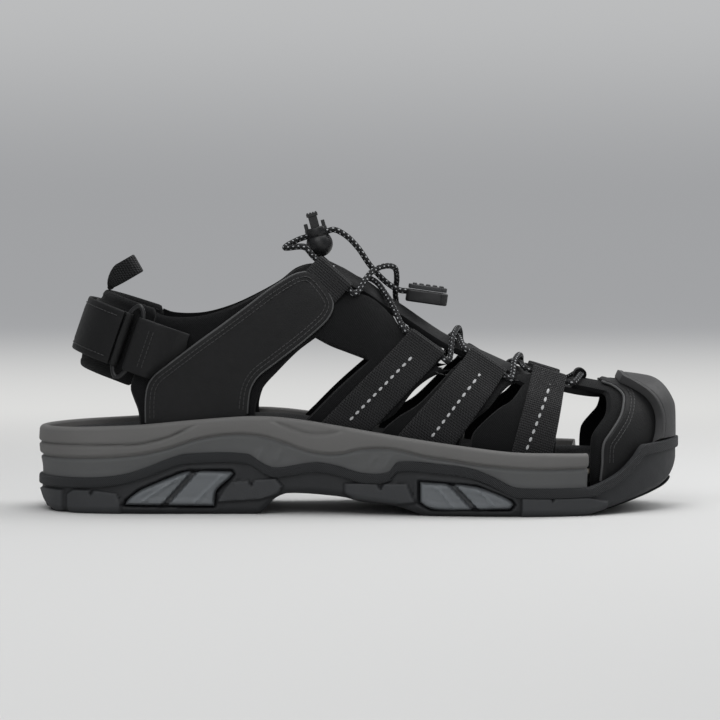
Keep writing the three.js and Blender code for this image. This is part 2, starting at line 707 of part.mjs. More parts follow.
const liningLayer = shell(0, liningOut);
const shellLayer = shell(shellIn, shellOut);
for (const [hand, word] of [[-1, "lateral"], [1, "medial"]]) {
  let lining = sewn(liningLayer, liningSide, hand).subtract(collarBlock).subtract(everyEye).subtract(allLaceRoom);
  for (const hole of windows) lining = lining.subtract(prismY(hole));
  place(body, `lining_${word}`, lining, LINING, 0.95);
  let quarter = sewn(shellLayer, quarterSide, hand).subtract(everyEye).subtract(allLaceRoom);
  if (hand > 0) quarter = quarter.subtract(inHeelFrame(box(-80, 10.3, 0, 60, -strapHalf - partGap, 60)));
  place(body, `quarter_${word}`, quarter, LEATHER, 0.55);
}

for (let k = 0; k < eyes.length; k += 1) {
  for (const [hand, word] of [[-1, "lateral"], [1, "medial"]]) {
    const eye = eyes[k][hand];
    const others = wasm.Manifold.union(eyeRoom.filter((unused, i) => i !== 2 * k + (hand > 0 ? 1 : 0)));
    let strap = sewn(shellLayer, strapSides[k], hand).add(rod(eye.a, eye.b, eyeRadius));
    if (k === 0) strap = strap.subtract(prismY(grow(quarterSide, partGap)).subtract(rod(eye.a, eye.b, 0.4)));
    strap = strap.subtract(others).subtract(allLaceRoom).subtract(rod(
      new THREE.Vector3().lerpVectors(eye.a, eye.b, -0.3), new THREE.Vector3().lerpVectors(eye.a, eye.b, 1.3), eyeBore));
    place(body, `${eyes[k].name}_strap_${word}`, strap, WEBBING, 0.85);
  }
}

const toeLining = liningLayer.intersect(prismY(toeLiningSide)).subtract(boardRoom).subtract(allLaceRoom)
  .subtract(everyEye);
place(body, "toe_lining", toeLining, LINING, 0.95);
const vamp = shellLayer.intersect(prismY(vampSide)).subtract(boardRoom).subtract(everyEye);
place(body, "vamp_panel", vamp, LEATHER, 0.55);
const toeCap = shell(toeCapIn, toeCapOut).intersect(prismY(toeCapSide)).subtract(boardRoom);
place(body, "toe_cap", toeCap, RUBBER, 0.7);

const tonguePlan = [[-15, -17], [-16.5, 0], [-15, 17], [20, 19], [60, 20], [112, 17], [112, -17], [60, -20], [20, -19]];
const tongue = shell(tongueIn, tongueOut)
  .intersect(prismZ(tonguePlan.map(([x, y]) => [x * sx, y * sy]), 30, 200)).subtract(allLaceRoom).subtract(everyEye);
place(body, "tongue", tongue, LINING, 0.7);

const anchorPoint = offsetPoint(anchorX, anchorShare, eyeLift);
const anchorEnd = (d) => new THREE.Vector3(anchorPoint.x, anchorPoint.y + d, anchorPoint.z);
let anchor = rod(anchorEnd(-8), anchorEnd(8), eyeRadius);
const foot = shellLayer.intersect(box(anchorX, anchorX + 7, anchorPoint.y - 8, anchorPoint.y + 8, 40, 90));
anchor = anchor.add(foot).subtract(rod(anchorEnd(-9), anchorEnd(9), eyeBore)).subtract(last(shellIn))
  .subtract(prismY(grow(vampSide, partGap))).subtract(allLaceRoom).subtract(everyEye);
place(body, "lace_anchor", anchor, WEBBING, 0.85);
place(body, "lace_lateral", laces[0], 0x1a1b1d, 0.8);
place(body, "lace_medial", laces[1], 0x1a1b1d, 0.8);

// ---- Heel assembly, built in its own tilted frame
const heel = new THREE.Group();
heel.name = "heel_frame";
heel.position.copy(heelOrigin);
heel.rotation.y = heelTilt;
body.add(heel);
const toHeel = new THREE.Matrix4().makeRotationY(heelTilt).setPosition(heelOrigin).invert();
const fromBody = (solid) => solid.transform(toHeel.elements);
const lastInHeel = fromBody(last(shellIn)).intersect(box(-8, 200, -90, 90, -90, 90));

const collar = band(-legStart, legStart, -collarThickness - partGap, -partGap, collarLow, collarHigh)
  .intersect(box(-80, collarFront, -60, 60, -60, 60));
place(heel, "heel_collar", collar, LINING, 0.95);

const limb = ringShort / 2 - ringRim;
const foldPlace = ringMiddle - limb + partGap;
const strap = band(-atLegX(10), foldPlace, 0, strapSheet, -strapHalf, strapHalf)
  .subtract(lastInHeel).add(foldAt(foldPlace, 1));
place(heel, "heel_strap", strap, LEATHER, 0.55);
place(heel, "loop_tape", band(-34, foldPlace - 10, tape1, tape1 + tapeSheet, -11, 11), WEBBING, 1);

const pivot = heelPath(foldPlace - partGap);
const hinge = new THREE.Group();
hinge.name = "heel_strap_hinge";
hinge.position.set(pivot.x + pivot.nx * flapOut, pivot.y + pivot.ny * flapOut, 0);
heel.add(hinge);
const inHinge = (solid) => solid.translate([-hinge.position.x, -hinge.position.y, 0]);
place(hinge, "heel_strap_flap", inHinge(band(-32, foldPlace - partGap, flapIn, flapOut, -strapHalf, strapHalf)),
  LEATHER, 0.55);
place(hinge, "hook_tape", inHinge(band(-30, foldPlace - 12, tape2, tape2 + tapeSheet, -11, 11)), WEBBING, 1);

function ringShape(long, short) {
  const shape = new THREE.Shape();
  shape.absellipse(0, 0, short / 2, long / 2, 0, 2 * Math.PI);
  return shape;
}

function buildRing() {
  const shape = ringShape(ringLong, ringShort);
  shape.holes.push(ringShape(ringLong - 2 * ringRim, ringShort - 2 * ringRim));
  const geometry = new THREE.ExtrudeGeometry(shape, { depth: ringSheet, bevelEnabled: false, curveSegments: 20 });
  const p = heelPath(ringMiddle);
  const basis = new THREE.Matrix4().makeBasis(new THREE.Vector3(p.tx, p.ty, 0), new THREE.Vector3(0, 0, 1),
    new THREE.Vector3(p.nx, p.ny, 0));
  if (basis.determinant() < 0) {
    basis.makeBasis(new THREE.Vector3(-p.tx, -p.ty, 0), new THREE.Vector3(0, 0, 1), new THREE.Vector3(p.nx, p.ny, 0));
  }
  const d = tape1;
  basis.setPosition(p.x + p.nx * d, p.y + p.ny * d, 0);
  geometry.applyMatrix4(basis);
  return toSolid(geometry);
}
const ring = buildRing();
place(heel, "ring", ring, 0x141517, 0.3);

const tabStart = ringMiddle + limb - partGap;
const tabStop = atLegX(24);
const quarterRoom = fromBody(prismY(grow(quarterSide, 0.35)));
let ringTab = band(tabStart, tabStop, 0, strapSheet, -strapHalf, strapHalf)
  .add(band(tabStart, tabStop, flapIn, flapOut, -strapHalf, strapHalf))
  .add(band(ringMiddle + ringShort / 2 + partGap, tabStop, 0, flapOut, -strapHalf, strapHalf))
  .add(foldAt(tabStart, -1));
ringTab = ringTab.subtract(lastInHeel).subtract(quarterRoom);
place(heel, "ring_tab", ringTab, LEATHER, 0.5);

// ---- Pull loop
const loopBarRadius = 1.2;
const loopHalf = 5;
const loopLong = 17;
const loopSheet = 1.5;
const loopWide = 9;
const loopGroup = new THREE.Group();
loopGroup.name = "pull_loop_hinge";
loopGroup.position.set(-heelBack + 3.2, 0, collarHigh + partGap + loopBarRadius);
loopGroup.rotation.y = THREE.MathUtils.degToRad(41);
heel.add(loopGroup);
function buildLoop() {
  const outer = [];
  const inner = [];
  for (let i = 0; i <= 10; i += 1) {
    const a = Math.PI - (Math.PI * i) / 10;
    outer.push([loopHalf * Math.cos(a), loopLong - loopHalf + loopHalf * Math.sin(a)]);
    inner.push([(loopHalf - loopSheet) * Math.cos(a), loopLong - loopHalf + (loopHalf - loopSheet) * Math.sin(a)]);
  }
  const outline = [[-loopHalf, 0], ...outer, [loopHalf, 0], [loopHalf - loopSheet, 0], ...inner.reverse(),
    [-loopHalf + loopSheet, 0]];
  const geometry = extruded(shapeOf(outline), loopWide);
  // outline (y, length) to y and z, with the tape width running along -x
  geometry.rotateX(Math.PI / 2);
  geometry.rotateZ(Math.PI / 2);
  geometry.rotateY(Math.PI);
  return toSolid(geometry);
}
function loopSolid() {
  let loop = buildLoop();
  const bounds = loop.boundingBox();
  loop = loop.translate([-bounds.max[0] + loopBarRadius, 0, -bounds.min[2]]);
  const bar = rod(new THREE.Vector3(0, -loopHalf, 0), new THREE.Vector3(0, loopHalf, 0), loopBarRadius, 12);
  return loop.add(bar);
}
place(loopGroup, "pull_loop", loopSolid(), WEBBING, 0.85);

// ---- Cord lock
const lock = new THREE.Group();
lock.name = "cord_lock_frame";
lock.position.copy(lockCentre);
lock.rotation.y = lockTurn;
body.add(lock);
const plungerFoot = -3.2;
const slotFloor = plungerFoot - plungerTravel - 2.4;
const slotHalfX = 2.3;
const slotHalfY = plungerHalf + plungerFit;
const cordHole = laceRadius + laceClear;
function buildLockBody() {
  const ball = new THREE.SphereGeometry(ballRadius, 16, 10);
  ball.translate(0, 0, -ballDrop);
  const neck = new THREE.CylinderGeometry(neckRadius, neckRadius, 7.2, 16);
  neck.rotateX(Math.PI / 2);
  neck.translate(0, 0, -0.4);
  let solid = toSolid(ball).add(toSolid(neck));
  for (const end of [-1, 1]) {
    solid = solid.add(box(end * 4.05 - 0.85, end * 4.05 + 0.85, -3, 3, 1, 5.8));
  }
  solid = solid.subtract(box(-slotHalfX, slotHalfX, -slotHalfY, slotHalfY, slotFloor, 20));
  for (const end of [-1, 1]) {
    const y = end * cordSpacing;
    solid = solid.subtract(rod(new THREE.Vector3(-12, y, 0), new THREE.Vector3(12, y, 0), cordHole, 12));
  }
  return solid;
}
place(lock, "cord_lock_body", buildLockBody(), 0x141416, 0.4);
function buildButton() {
  const half = slotHalfX - plungerFit;
  const windowHalf = cordSpacing + laceRadius + 0.25;
  let solid = box(-half, half, -plungerHalf, plungerHalf, plungerFoot, 8.6);
  solid = solid.add(box(-2.6, 2.6, -4.2, 4.2, 8.4, 10.4));
  solid = solid.subtract(box(-5, 5, -windowHalf, windowHalf, -cordHole, cordHole + plungerTravel));
  for (const x of [-1.3, 0, 1.3]) solid = solid.subtract(box(x - 0.25, x + 0.25, -9, 9, 10, 11));
  return solid;
}
place(lock, "cord_lock_button", buildButton(), 0x1d1e20, 0.45);
function buildSpring() {
  const points = [];
  const turns = 4;
  const low = slotFloor + 0.5;
  const high = plungerFoot - 0.5;
  for (let i = 0; i <= turns * 10; i += 1) {
    const a = (2 * Math.PI * i) / 10;
    points.push(new THREE.Vector3(1.4 * Math.cos(a), 1.4 * Math.sin(a), low + ((high - low) * i) / (turns * 10)));
  }
  return tube(points, 0.25, turns * 10, 4);
}
place(lock, "cord_lock_spring", buildSpring(), 0xb8bbc0, 0.3, 0.9);

// ---- Pull tab on the cord ends
const tab = new THREE.Group();
tab.name = "cord_end_frame";
tab.position.copy(tabCentre);
tab.rotation.y = tabTurn;
body.add(tab);
const tabHalf = 9.6;
function buildTabShell() {
  const outline = [[-tabHalf, -4.2], [-tabHalf + 2, -5.6], [tabHalf - 3, -6], [tabHalf, -3], [tabHalf, 3],
    [tabHalf - 3, 6], [-tabHalf + 2, 5.6], [-tabHalf, 4.2]];
  let solid = prismZ(outline, -4.4, 1.3);
  for (const end of [-1, 1]) {
    solid = solid.subtract(rod(new THREE.Vector3(-12, end * cordSpacing, 0),
      new THREE.Vector3(-3.6, end * cordSpacing, 0), laceRadius + laceClear, 12));
  }
  return solid.subtract(box(-20, -3.6, -cordSpacing - laceRadius - laceClear, cordSpacing + laceRadius + laceClear, 0, 3));
}
function buildTabCap() {
  const outline = [[-tabHalf + 0.6, -3.8], [-tabHalf + 2.2, -5], [tabHalf - 3.2, -5.4], [tabHalf - 0.8, -2.8],
    [tabHalf - 0.8, 2.8], [tabHalf - 3.2, 5.4], [-tabHalf + 2.2, 5], [-tabHalf + 0.6, 3.8]];
  let solid = prismZ(outline, 1.6 + 0.1, 4.4);
  for (const x of [-4.5, -1.5, 1.5, 4.5]) solid = solid.subtract(box(x - 0.5, x + 0.5, -9, 9, 3.8, 6));
  return solid;
}
place(tab, "cord_end_shell", buildTabShell(), 0x17181a, 0.5);
place(tab, "cord_end_cap", buildTabCap(), 0x232528, 0.5);

// ---- Origin at the centre of the footprint, on the ground
body.updateMatrixWorld(true);
const bounds = new THREE.Box3().setFromObject(body);
body.position.set(-(bounds.min.x + bounds.max.x) / 2, -(bounds.min.y + bounds.max.y) / 2, -bounds.min.z);

export default sandal;
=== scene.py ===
"""Strappy sport sandal: the visible model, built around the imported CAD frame. Lengths are worked in mm."""
import math
import random

import bmesh
import bpy
import numpy as np
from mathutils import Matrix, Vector
from mathutils.geometry import delaunay_2d_cdt


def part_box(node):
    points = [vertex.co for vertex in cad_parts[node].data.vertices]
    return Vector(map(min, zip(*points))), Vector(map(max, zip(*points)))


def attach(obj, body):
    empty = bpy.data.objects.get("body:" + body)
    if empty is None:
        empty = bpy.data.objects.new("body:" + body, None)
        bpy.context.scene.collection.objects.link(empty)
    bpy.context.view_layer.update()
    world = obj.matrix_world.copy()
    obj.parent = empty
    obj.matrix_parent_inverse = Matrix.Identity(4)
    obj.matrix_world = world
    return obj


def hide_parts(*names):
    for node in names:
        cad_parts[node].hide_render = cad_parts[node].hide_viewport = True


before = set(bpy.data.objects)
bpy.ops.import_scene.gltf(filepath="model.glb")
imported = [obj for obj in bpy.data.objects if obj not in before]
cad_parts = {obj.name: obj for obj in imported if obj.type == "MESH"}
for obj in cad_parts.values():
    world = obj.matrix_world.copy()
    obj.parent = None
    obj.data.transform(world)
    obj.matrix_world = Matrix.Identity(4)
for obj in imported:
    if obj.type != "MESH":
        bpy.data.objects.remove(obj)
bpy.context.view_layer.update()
random.seed(7)
LATERAL, MEDIAL = -1, 1
SIDES = ((LATERAL, "lateral"), (MEDIAL, "medial"))
MM = 0.001


# ---------------------------------------------------------------- curves and the last
def eased(points, x):
    """A drawn curve z(x) through points, smooth between them."""
    p = np.asarray(points, float)
    x = np.asarray(x, float)
    i = np.clip(np.searchsorted(p[:, 0], x) - 1, 0, len(p) - 2)
    slope = np.gradient(p[:, 1], p[:, 0])
    slope[1:-1] = (p[2:, 1] - p[:-2, 1]) / (p[2:, 0] - p[:-2, 0])
    h = p[i + 1, 0] - p[i, 0]
    t = np.clip((x - p[i, 0]) / h, 0, 1)
    a = p[i, 1] * (2 * t**3 - 3 * t**2 + 1) + slope[i] * h * (t**3 - 2 * t**2 + t)
    return a + p[i + 1, 1] * (3 * t**2 - 2 * t**3) + slope[i + 1] * h * (t**3 - t**2)


def spline(points, closed=False, per=12):
    """Catmull-Rom curve through points, centripetal."""
    p = np.asarray(points, float)
    n = len(p)
    out = []
    for i in range(n if closed else n - 1):
        if closed:
            a, b, c, d = p[(i - 1) % n], p[i], p[(i + 1) % n], p[(i + 2) % n]
        else:
            b, c = p[i], p[i + 1]
            a = p[i - 1] if i else 2 * b - c
            d = p[i + 2] if i + 2 < n else 2 * c - b
        t1 = max(np.linalg.norm(b - a) ** 0.5, 1e-4)
        t2 = t1 + max(np.linalg.norm(c - b) ** 0.5, 1e-4)
        t3 = t2 + max(np.linalg.norm(d - c) ** 0.5, 1e-4)
        for k in range(per):
            t = t1 + (t2 - t1) * k / per
            a1 = (t1 - t) / t1 * a + t / t1 * b
            a2 = (t2 - t) / (t2 - t1) * b + (t - t1) / (t2 - t1) * c
            a3 = (t3 - t) / (t3 - t2) * c + (t - t2) / (t3 - t2) * d
            b1 = (t2 - t) / t2 * a1 + t / t2 * a2
            b2 = (t3 - t) / (t3 - t1) * a2 + (t - t1) / (t3 - t1) * a3
            out.append((t2 - t) / (t2 - t1) * b1 + (t - t1) / (t2 - t1) * b2)
    if not closed:
        out.append(p[-1])
    return np.array(out)


def respaced(points, count=None, step=None, closed=False):
    """The same line with points at equal spacing."""
    p = np.asarray(points, float)
    if closed:
        p = np.vstack([p, p[:1]])
    run = np.concatenate([[0], np.cumsum(np.linalg.norm(np.diff(p, axis=0), axis=1))])
    if count is None:
        count = max(2, int(round(run[-1] / step)) + (0 if closed else 1))
    at = np.linspace(0, run[-1], count + 1)[:-1] if closed else np.linspace(0, run[-1], count)
    return np.stack([np.interp(at, run, p[:, k]) for k in range(p.shape[1])], axis=1)


PLAN = spline([
    (-147.5, 0), (-143, -17), (-130, -31.5), (-105, -38), (-70, -38.5), (-35, -39), (0, -43), (35, -49.5),
    (65, -53), (90, -50.5), (115, -40), (135, -23), (145, -6), (147.5, 8), (144, 22), (130, 38), (108, 49),
    (80, 54.5), (50, 51.5), (20, 43), (-10, 36.5), (-45, 34.5), (-80, 37), (-110, 37), (-132, 30.5),
    (-144, 16),
], closed=True, per=16)


def plan(inset, count):
    """The sole's outline from above, moved in by inset, anticlockwise from the heel."""
    p = respaced(PLAN, count=count, closed=True)
    t = np.roll(p, -1, 0) - np.roll(p, 1, 0)
    t /= np.linalg.norm(t, axis=1)[:, None]
    return p + inset * np.stack([-t[:, 1], t[:, 0]], 1)


_low, _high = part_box("outsole")
SHIFT = np.array([(_low.x + _high.x) * 500 - (PLAN[:, 0].min() + PLAN[:, 0].max()) / 2,
                  (_low.y + _high.y) * 500 - (PLAN[:, 1].min() + PLAN[:, 1].max()) / 2, 0.0])

RIM = [(-160, 38.2), (-145, 38.7), (-120, 39.6), (-100, 40.6), (-74, 42.9), (-51, 44.5), (-39, 44.3),
       (-26, 42.9), (-10, 40.4), (5, 37.8), (23.5, 34.9), (45.6, 31.8), (68, 29.2), (86, 28.6),
       (103.7, 28.2), (160, 28)]
WAVE = [(-160, 16), (-122, 16.3), (-108, 17.8), (-96, 21.4), (-87, 24.9), (-78.6, 27.3), (-51, 27.3),
        (-43.6, 22.9), (-38, 21.1), (-20.7, 23.6), (-10.6, 22.2), (1.4, 19), (12.4, 19.6), (17, 24.2),
        (39, 23.2), (50, 21.7), (59, 18.3), (68, 13.8), (74, 12.8), (103.4, 12.8), (107.4, 13.8),
        (112.5, 15.9), (119.5, 19.8), (125.5, 25.4), (129.5, 30.3), (133, 30.9), (150, 32.9)]
BOTTOM = [(-150, 10), (-146.7, 6.5), (-144, 2), (-138, 0), (-47, 0), (-38, 7.5), (-32, 9.5), (-8, 8), (0, 6),
          (16, 4), (31, 0), (100, 0), (112, 2.5), (121, 5), (134, 9), (143, 13), (147, 19), (150, 30)]
CREASE = [(-150, 25.2), (-122, 25.6), (-102, 27), (-87.6, 29.9), (-75.6, 33.7), (-65.5, 35.8), (-55, 36.6),
          (-45, 35.8), (-35, 33.1), (-25, 29.5), (-16.6, 27.9), (-8.8, 28), (-0.9, 29.8), (9.2, 30.6),
          (18, 29.7), (29, 27.2), (40, 25.6), (56.7, 23.2), (78.8, 21.7), (103.7, 21.9), (160, 22)]
HEEL_GROOVE = [(-150, 30.7), (-112, 31.3), (-100, 31.8), (-87.6, 34.6), (-81.6, 37.1), (-74, 40.6), (-60, 46)]
LEAF = [(-44, 45.5), (-39, 42.2), (-31, 39.2), (-24, 36.9), (-16.6, 36.6), (-8.8, 38.1), (-2, 41.5)]
RIDGE = [(-150, 172), (-75, 170), (-60, 150), (-40, 134), (-28, 123), (-15, 113.5), (-3, 108), (4, 105),
         (12, 99), (20, 94), (30, 87), (40, 80.5), (50, 76), (60, 71.5), (70, 67), (80, 63.5), (90, 61),
         (100, 58.5), (110, 56.5), (120, 55), (130, 53.6), (134, 52.4), (137, 49), (140, 43)]
POWER = [(-150, 2.2), (-40, 2.0), (-15, 1.8), (20, 1.75), (50, 2.0), (90, 2.3), (140, 2.5)]
UPPER_INSET = 8.5
FLOOR_DROP = 10.0
TABLE_X = np.linspace(-165, 165, 3301)
_tables = [eased(_curve, TABLE_X) for _curve in (RIM, RIDGE, POWER)]


def floor_at(x):
    return np.interp(x, TABLE_X, _tables[0]) - FLOOR_DROP


_last_plan = plan(UPPER_INSET, 400)
LAST_HEEL, LAST_TOE = _last_plan[:, 0].min() + 0.3, _last_plan[:, 0].max() - 0.3


def _chain(wanted):
    xs = np.linspace(LAST_HEEL - 0.2, LAST_TOE + 0.2, 500)
    closed = np.vstack([_last_plan, _last_plan[:1]])
    ys = []
    for x in xs:
        a, b = closed[:-1], closed[1:]
        hit = (a[:, 0] - x) * (b[:, 0] - x) <= 0
        span = np.where(np.abs(b[:, 0] - a[:, 0]) < 1e-9, 1e-9, b[:, 0] - a[:, 0])
        y = (a[:, 1] + (b[:, 1] - a[:, 1]) * (x - a[:, 0]) / span)[hit]
        ys.append(y.min() if wanted < 0 else y.max())
    return xs, np.array(ys)


_lateral_chain, _medial_chain = _chain(-1), _chain(1)


def last_point(x, share):
    """A place on the last: share 0 is the lateral edge, 0.4 the ridge, 0.8 the medial edge."""
    x = np.clip(x, LAST_HEEL, LAST_TOE)
    lateral = np.interp(x, *_lateral_chain)
    medial = np.interp(x, *_medial_chain)
    middle, half = (lateral + medial) / 2, (medial - lateral) / 2
    base, top, power = floor_at(x) + 3, np.interp(x, TABLE_X, _tables[1]), np.interp(x, TABLE_X, _tables[2])
    angle = np.clip(share, 0, 0.8) / 0.8 * np.pi
    c, s = np.cos(angle), np.maximum(0, np.sin(angle))
    y = middle - half * np.sign(c) * np.abs(c) ** (2 / power)
    z = base + (top - base) * s ** (2 / power)
    z = z + np.minimum(0, share) * 250 + np.minimum(0, 0.8 - share) * 250
    return np.stack(np.broadcast_arrays(x, y, z), -1)


def last_normal(x, share):
    along_x = last_point(np.minimum(x + 0.8, LAST_TOE),
                         share) - last_point(np.maximum(x - 0.8, LAST_HEEL), share)
    up = last_point(x, share + 0.004) - last_point(x, share - 0.004)
    n = np.cross(along_x, up)
    n /= np.maximum(np.linalg.norm(n, axis=-1, keepdims=True), 1e-9)
    wall = (share < 0.012) | (share > 0.788)
    flat = n * np.array([1, 1, 0])
    flat /= np.maximum(np.linalg.norm(flat, axis=-1, keepdims=True), 1e-9)
    return np.where(wall[..., None], flat, n)


def on_surface(x, share, lift):
    x, share = np.asarray(x, float), np.asarray(share, float)
    return last_point(x, share) + last_normal(x, share) * np.asarray(lift, float)[..., None]


def share_at(x, z, lift, hand):
    """The share whose surface point is at height z; below the edge it runs on down the side wall."""
    x, z = np.asarray(x, float), np.asarray(z, float)
    low, high = np.full(x.shape, -0.09), np.full(x.shape, 0.4)
    for _ in range(26):
        mid = (low + high) / 2
        share = mid if hand < 0 else 0.8 - mid
        lower = on_surface(x, share, np.full(x.shape, lift))[..., 2] < z
        low, high = np.where(lower, mid, low), np.where(lower, high, mid)
    low = np.minimum(low, 0.4)
    return low if hand < 0 else 0.8 - low


# ---------------------------------------------------------------- making objects
def make(name, verts, faces, materials, body="root", slot=None, replaces=(), smooth=40, face_slots=None,
         uv=None):
    """One piece from vertices in mm, riding on a body."""
    mesh = bpy.data.meshes.new(name)
    moved = (np.asarray(verts, float) + SHIFT) * MM
    mesh.from_pydata([tuple(v) for v in moved], [], [tuple(int(i) for i in f) for f in faces])
    for material in materials:
        mesh.materials.append(material)
    if face_slots is not None:
        for polygon, index in zip(mesh.polygons, face_slots):
            polygon.material_index = int(index)
    if uv is not None:
        layer = mesh.uv_layers.new(name="cloth")
        for loop in mesh.loops:
            layer.data[loop.index].uv = uv[loop.vertex_index]
    tool = bmesh.new()
    tool.from_mesh(mesh)
    bmesh.ops.recalc_face_normals(tool, faces=tool.faces)
    tool.to_mesh(mesh)
    tool.free()
    for polygon in mesh.polygons:
        polygon.use_smooth = True
    mesh.set_sharp_from_angle(angle=math.radians(smooth))
    piece = bpy.data.objects.new(name, mesh)
    bpy.context.scene.collection.objects.link(piece)
    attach(piece, body)
    for node in replaces:
        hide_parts(node)
    return piece


def bevelled(piece, width, segments=2, angle=35):
    modifier = piece.modifiers.new("edge", "BEVEL")
    modifier.width = width * MM
    modifier.segments = segments
    modifier.limit_method = "ANGLE"
    modifier.angle_limit = math.radians(angle)
    return piece


class Bin:
    """Collects many small shapes into one piece."""

    def __init__(self):
        self.verts, self.faces, self.slots = [], [], []

    def add(self, verts, faces, slot=0):
        base = len(self.verts)
        self.verts.extend([tuple(v) for v in verts])
        self.faces.extend([[base + i for i in f] for f in faces])
        self.slots.extend([slot] * len(faces))

    def make(self, name, materials, **rest):
        return make(name, self.verts, self.faces, materials, face_slots=self.slots, **rest)


def inside(points, polygon):
    """Which points are inside the polygon."""
    x, y = points[:, 0][:, None], points[:, 1][:, None]
    a, b = polygon, np.roll(polygon, -1, 0)
    crosses = (a[:, 1] > y) != (b[:, 1] > y)
    rise = np.where(np.abs(b[:, 1] - a[:, 1]) < 1e-12, 1e-12, b[:, 1] - a[:, 1])
    at = a[:, 0] + (y - a[:, 1]) * (b[:, 0] - a[:, 0]) / rise
    return (crosses & (x < at)).sum(1) % 2 == 1


def edge_distance(points, polygons):
    best = np.full(len(points), 1e9)
    for polygon in polygons:
        a, b = polygon, np.roll(polygon, -1, 0)
        for p, q in zip(a, b):
            d = q - p
            t = np.clip(((points - p) @ d) / max(d @ d, 1e-12), 0, 1)
            best = np.minimum(best, np.linalg.norm(points - p - t[:, None] * d, axis=1))
    return best


def rounded_outline(points, step=1.6, corner=42):
    """A drawn outline made smooth, keeping its real corners."""
    p = np.asarray(points, float)
    n = len(p)
    sharp = []
    for i in range(n):
        u, v = p[i] - p[i - 1], p[(i + 1) % n] - p[i]
        turn = abs(math.degrees(math.atan2(u[0] * v[1] - u[1] * v[0], u @ v)))
        if turn > corner:
            sharp.append(i)
    if not sharp:
        return respaced(spline(p, closed=True), step=step, closed=True)
    out = []
    for k, start in enumerate(sharp):
        stop = sharp[(k + 1) % len(sharp)]
        span = (stop - start) % n or n
        run = [p[(start + j) % n] for j in range(span + 1)]
        out.extend(respaced(spline(run), step=step)[:-1])
    return np.array(out)


GIRTH = 230.0


def mesh_inside(outer, holes=(), step=3.0, rings=(0.7, 2.0)):
    """Triangles filling an outline with holes; returns points, triangles and their distance to the edge."""
    loops = [np.asarray(outer)] + [np.asarray(h) for h in holes]
    fixed = np.vstack(loops)
    edges, base = [], 0
    for loop in loops:
        edges += [(base + i, base + (i + 1) % len(loop)) for i in range(len(loop))]
        base += len(loop)
    low, high = loops[0].min(0), loops[0].max(0)
    grid = []
    row = 0
    y = low[1] + step / 2
    while y < high[1]:
        x = low[0] + (row % 2) * step / 2 + 0.1
        while x < high[0]:
            grid.append((x, y))
            x += step
        y += step * 0.87
        row += 1
    extra = [np.array(grid)] if grid else []
    for distance in rings:
        for loop in loops:
            t = np.roll(loop, -1, 0) - np.roll(loop, 1, 0)
            t /= np.maximum(np.linalg.norm(t, axis=1), 1e-9)[:, None]
            for sign in (-1, 1):
                extra.append(loop + sign * distance * np.stack([-t[:, 1], t[:, 0]], 1))
    chosen = np.zeros((0, 2))
    gap = edge_distance(np.vstack(extra), loops)
    start = 0
    for index, group in enumerate(extra):
        d = gap[start:start + len(group)]
        start += len(group)
        keep = inside(group, loops[0])
        for hole in loops[1:]:
            keep &= ~inside(group, hole)
        if index == 0:
            keep &= d > (rings[-1] + step * 0.45 if rings else step * 0.5)
        else:
            want = rings[(index - 1) // (2 * len(loops))]
            keep &= np.abs(d - want) < 0.2
        chosen = np.vstack([chosen, group[keep]])
    points = np.vstack([fixed, chosen])
    found = delaunay_2d_cdt([Vector(v) for v in points], edges, [], 0, 1e-5)
    verts = np.array([tuple(v) for v in found[0]])
    tris = np.array([f for f in found[2] if len(f) == 3])
    middle = verts[tris].mean(1)
    keep = inside(middle, loops[0])
    for hole in loops[1:]:
        keep &= ~inside(middle, hole)
    tris = tris[keep]
    used = np.unique(tris)
    remap = -np.ones(len(verts), int)
    remap[used] = np.arange(len(used))
    verts, tris = verts[used], remap[tris]
    return verts, tris, edge_distance(verts, loops)


def thick(inner, outer, tris):
    """Closes two matching skins into one body."""
    count = len(inner)
    faces = [tuple(t) for t in tris] + [tuple(count + i for i in t[::-1]) for t in tris]
    seen = {}
    for t in tris:
        for a, b in ((t[0], t[1]), (t[1], t[2]), (t[2], t[0])):
            seen.setdefault((min(a, b), max(a, b)), []).append((a, b))
    for pair in seen.values():
        if len(pair) == 1:
            a, b = pair[0]
            faces.append((b, a, count + a, count + b))
    return np.vstack([outer, inner]), faces


def to_domain(points, lift, hand):
    """Side-view points to the last's own coordinates."""
    p = np.asarray(points, float)
    return np.stack([p[:, 0], share_at(p[:, 0], p[:, 1], lift, hand) * GIRTH], 1)


def panel(name, domain, holes, inner, outer, materials, round_over=0.8, edge_keep=0.55, step=3.0, shape=None,
          **rest):
    """A sheet on the last between two heights; round_over is the width over which its edge falls."""
    verts, tris, gap = mesh_inside(domain, holes, step=step, rings=(round_over * 0.45, round_over * 1.3))
    fall = np.clip(gap / round_over, 0, 1)
    fall = edge_keep + (1 - edge_keep) * np.sqrt(1 - (1 - fall) ** 2)
    lift = inner + (outer - inner) * fall
    if shape is not None:
        lift = lift + shape(verts[:, 0], verts[:, 1] / GIRTH, gap)
    share = verts[:, 1] / GIRTH
    top = on_surface(verts[:, 0], share, lift)
    under = on_surface(verts[:, 0], share, np.full(len(verts), inner))
    body, faces = thick(under, top, tris)
    return make(name, body, faces, materials, **rest)


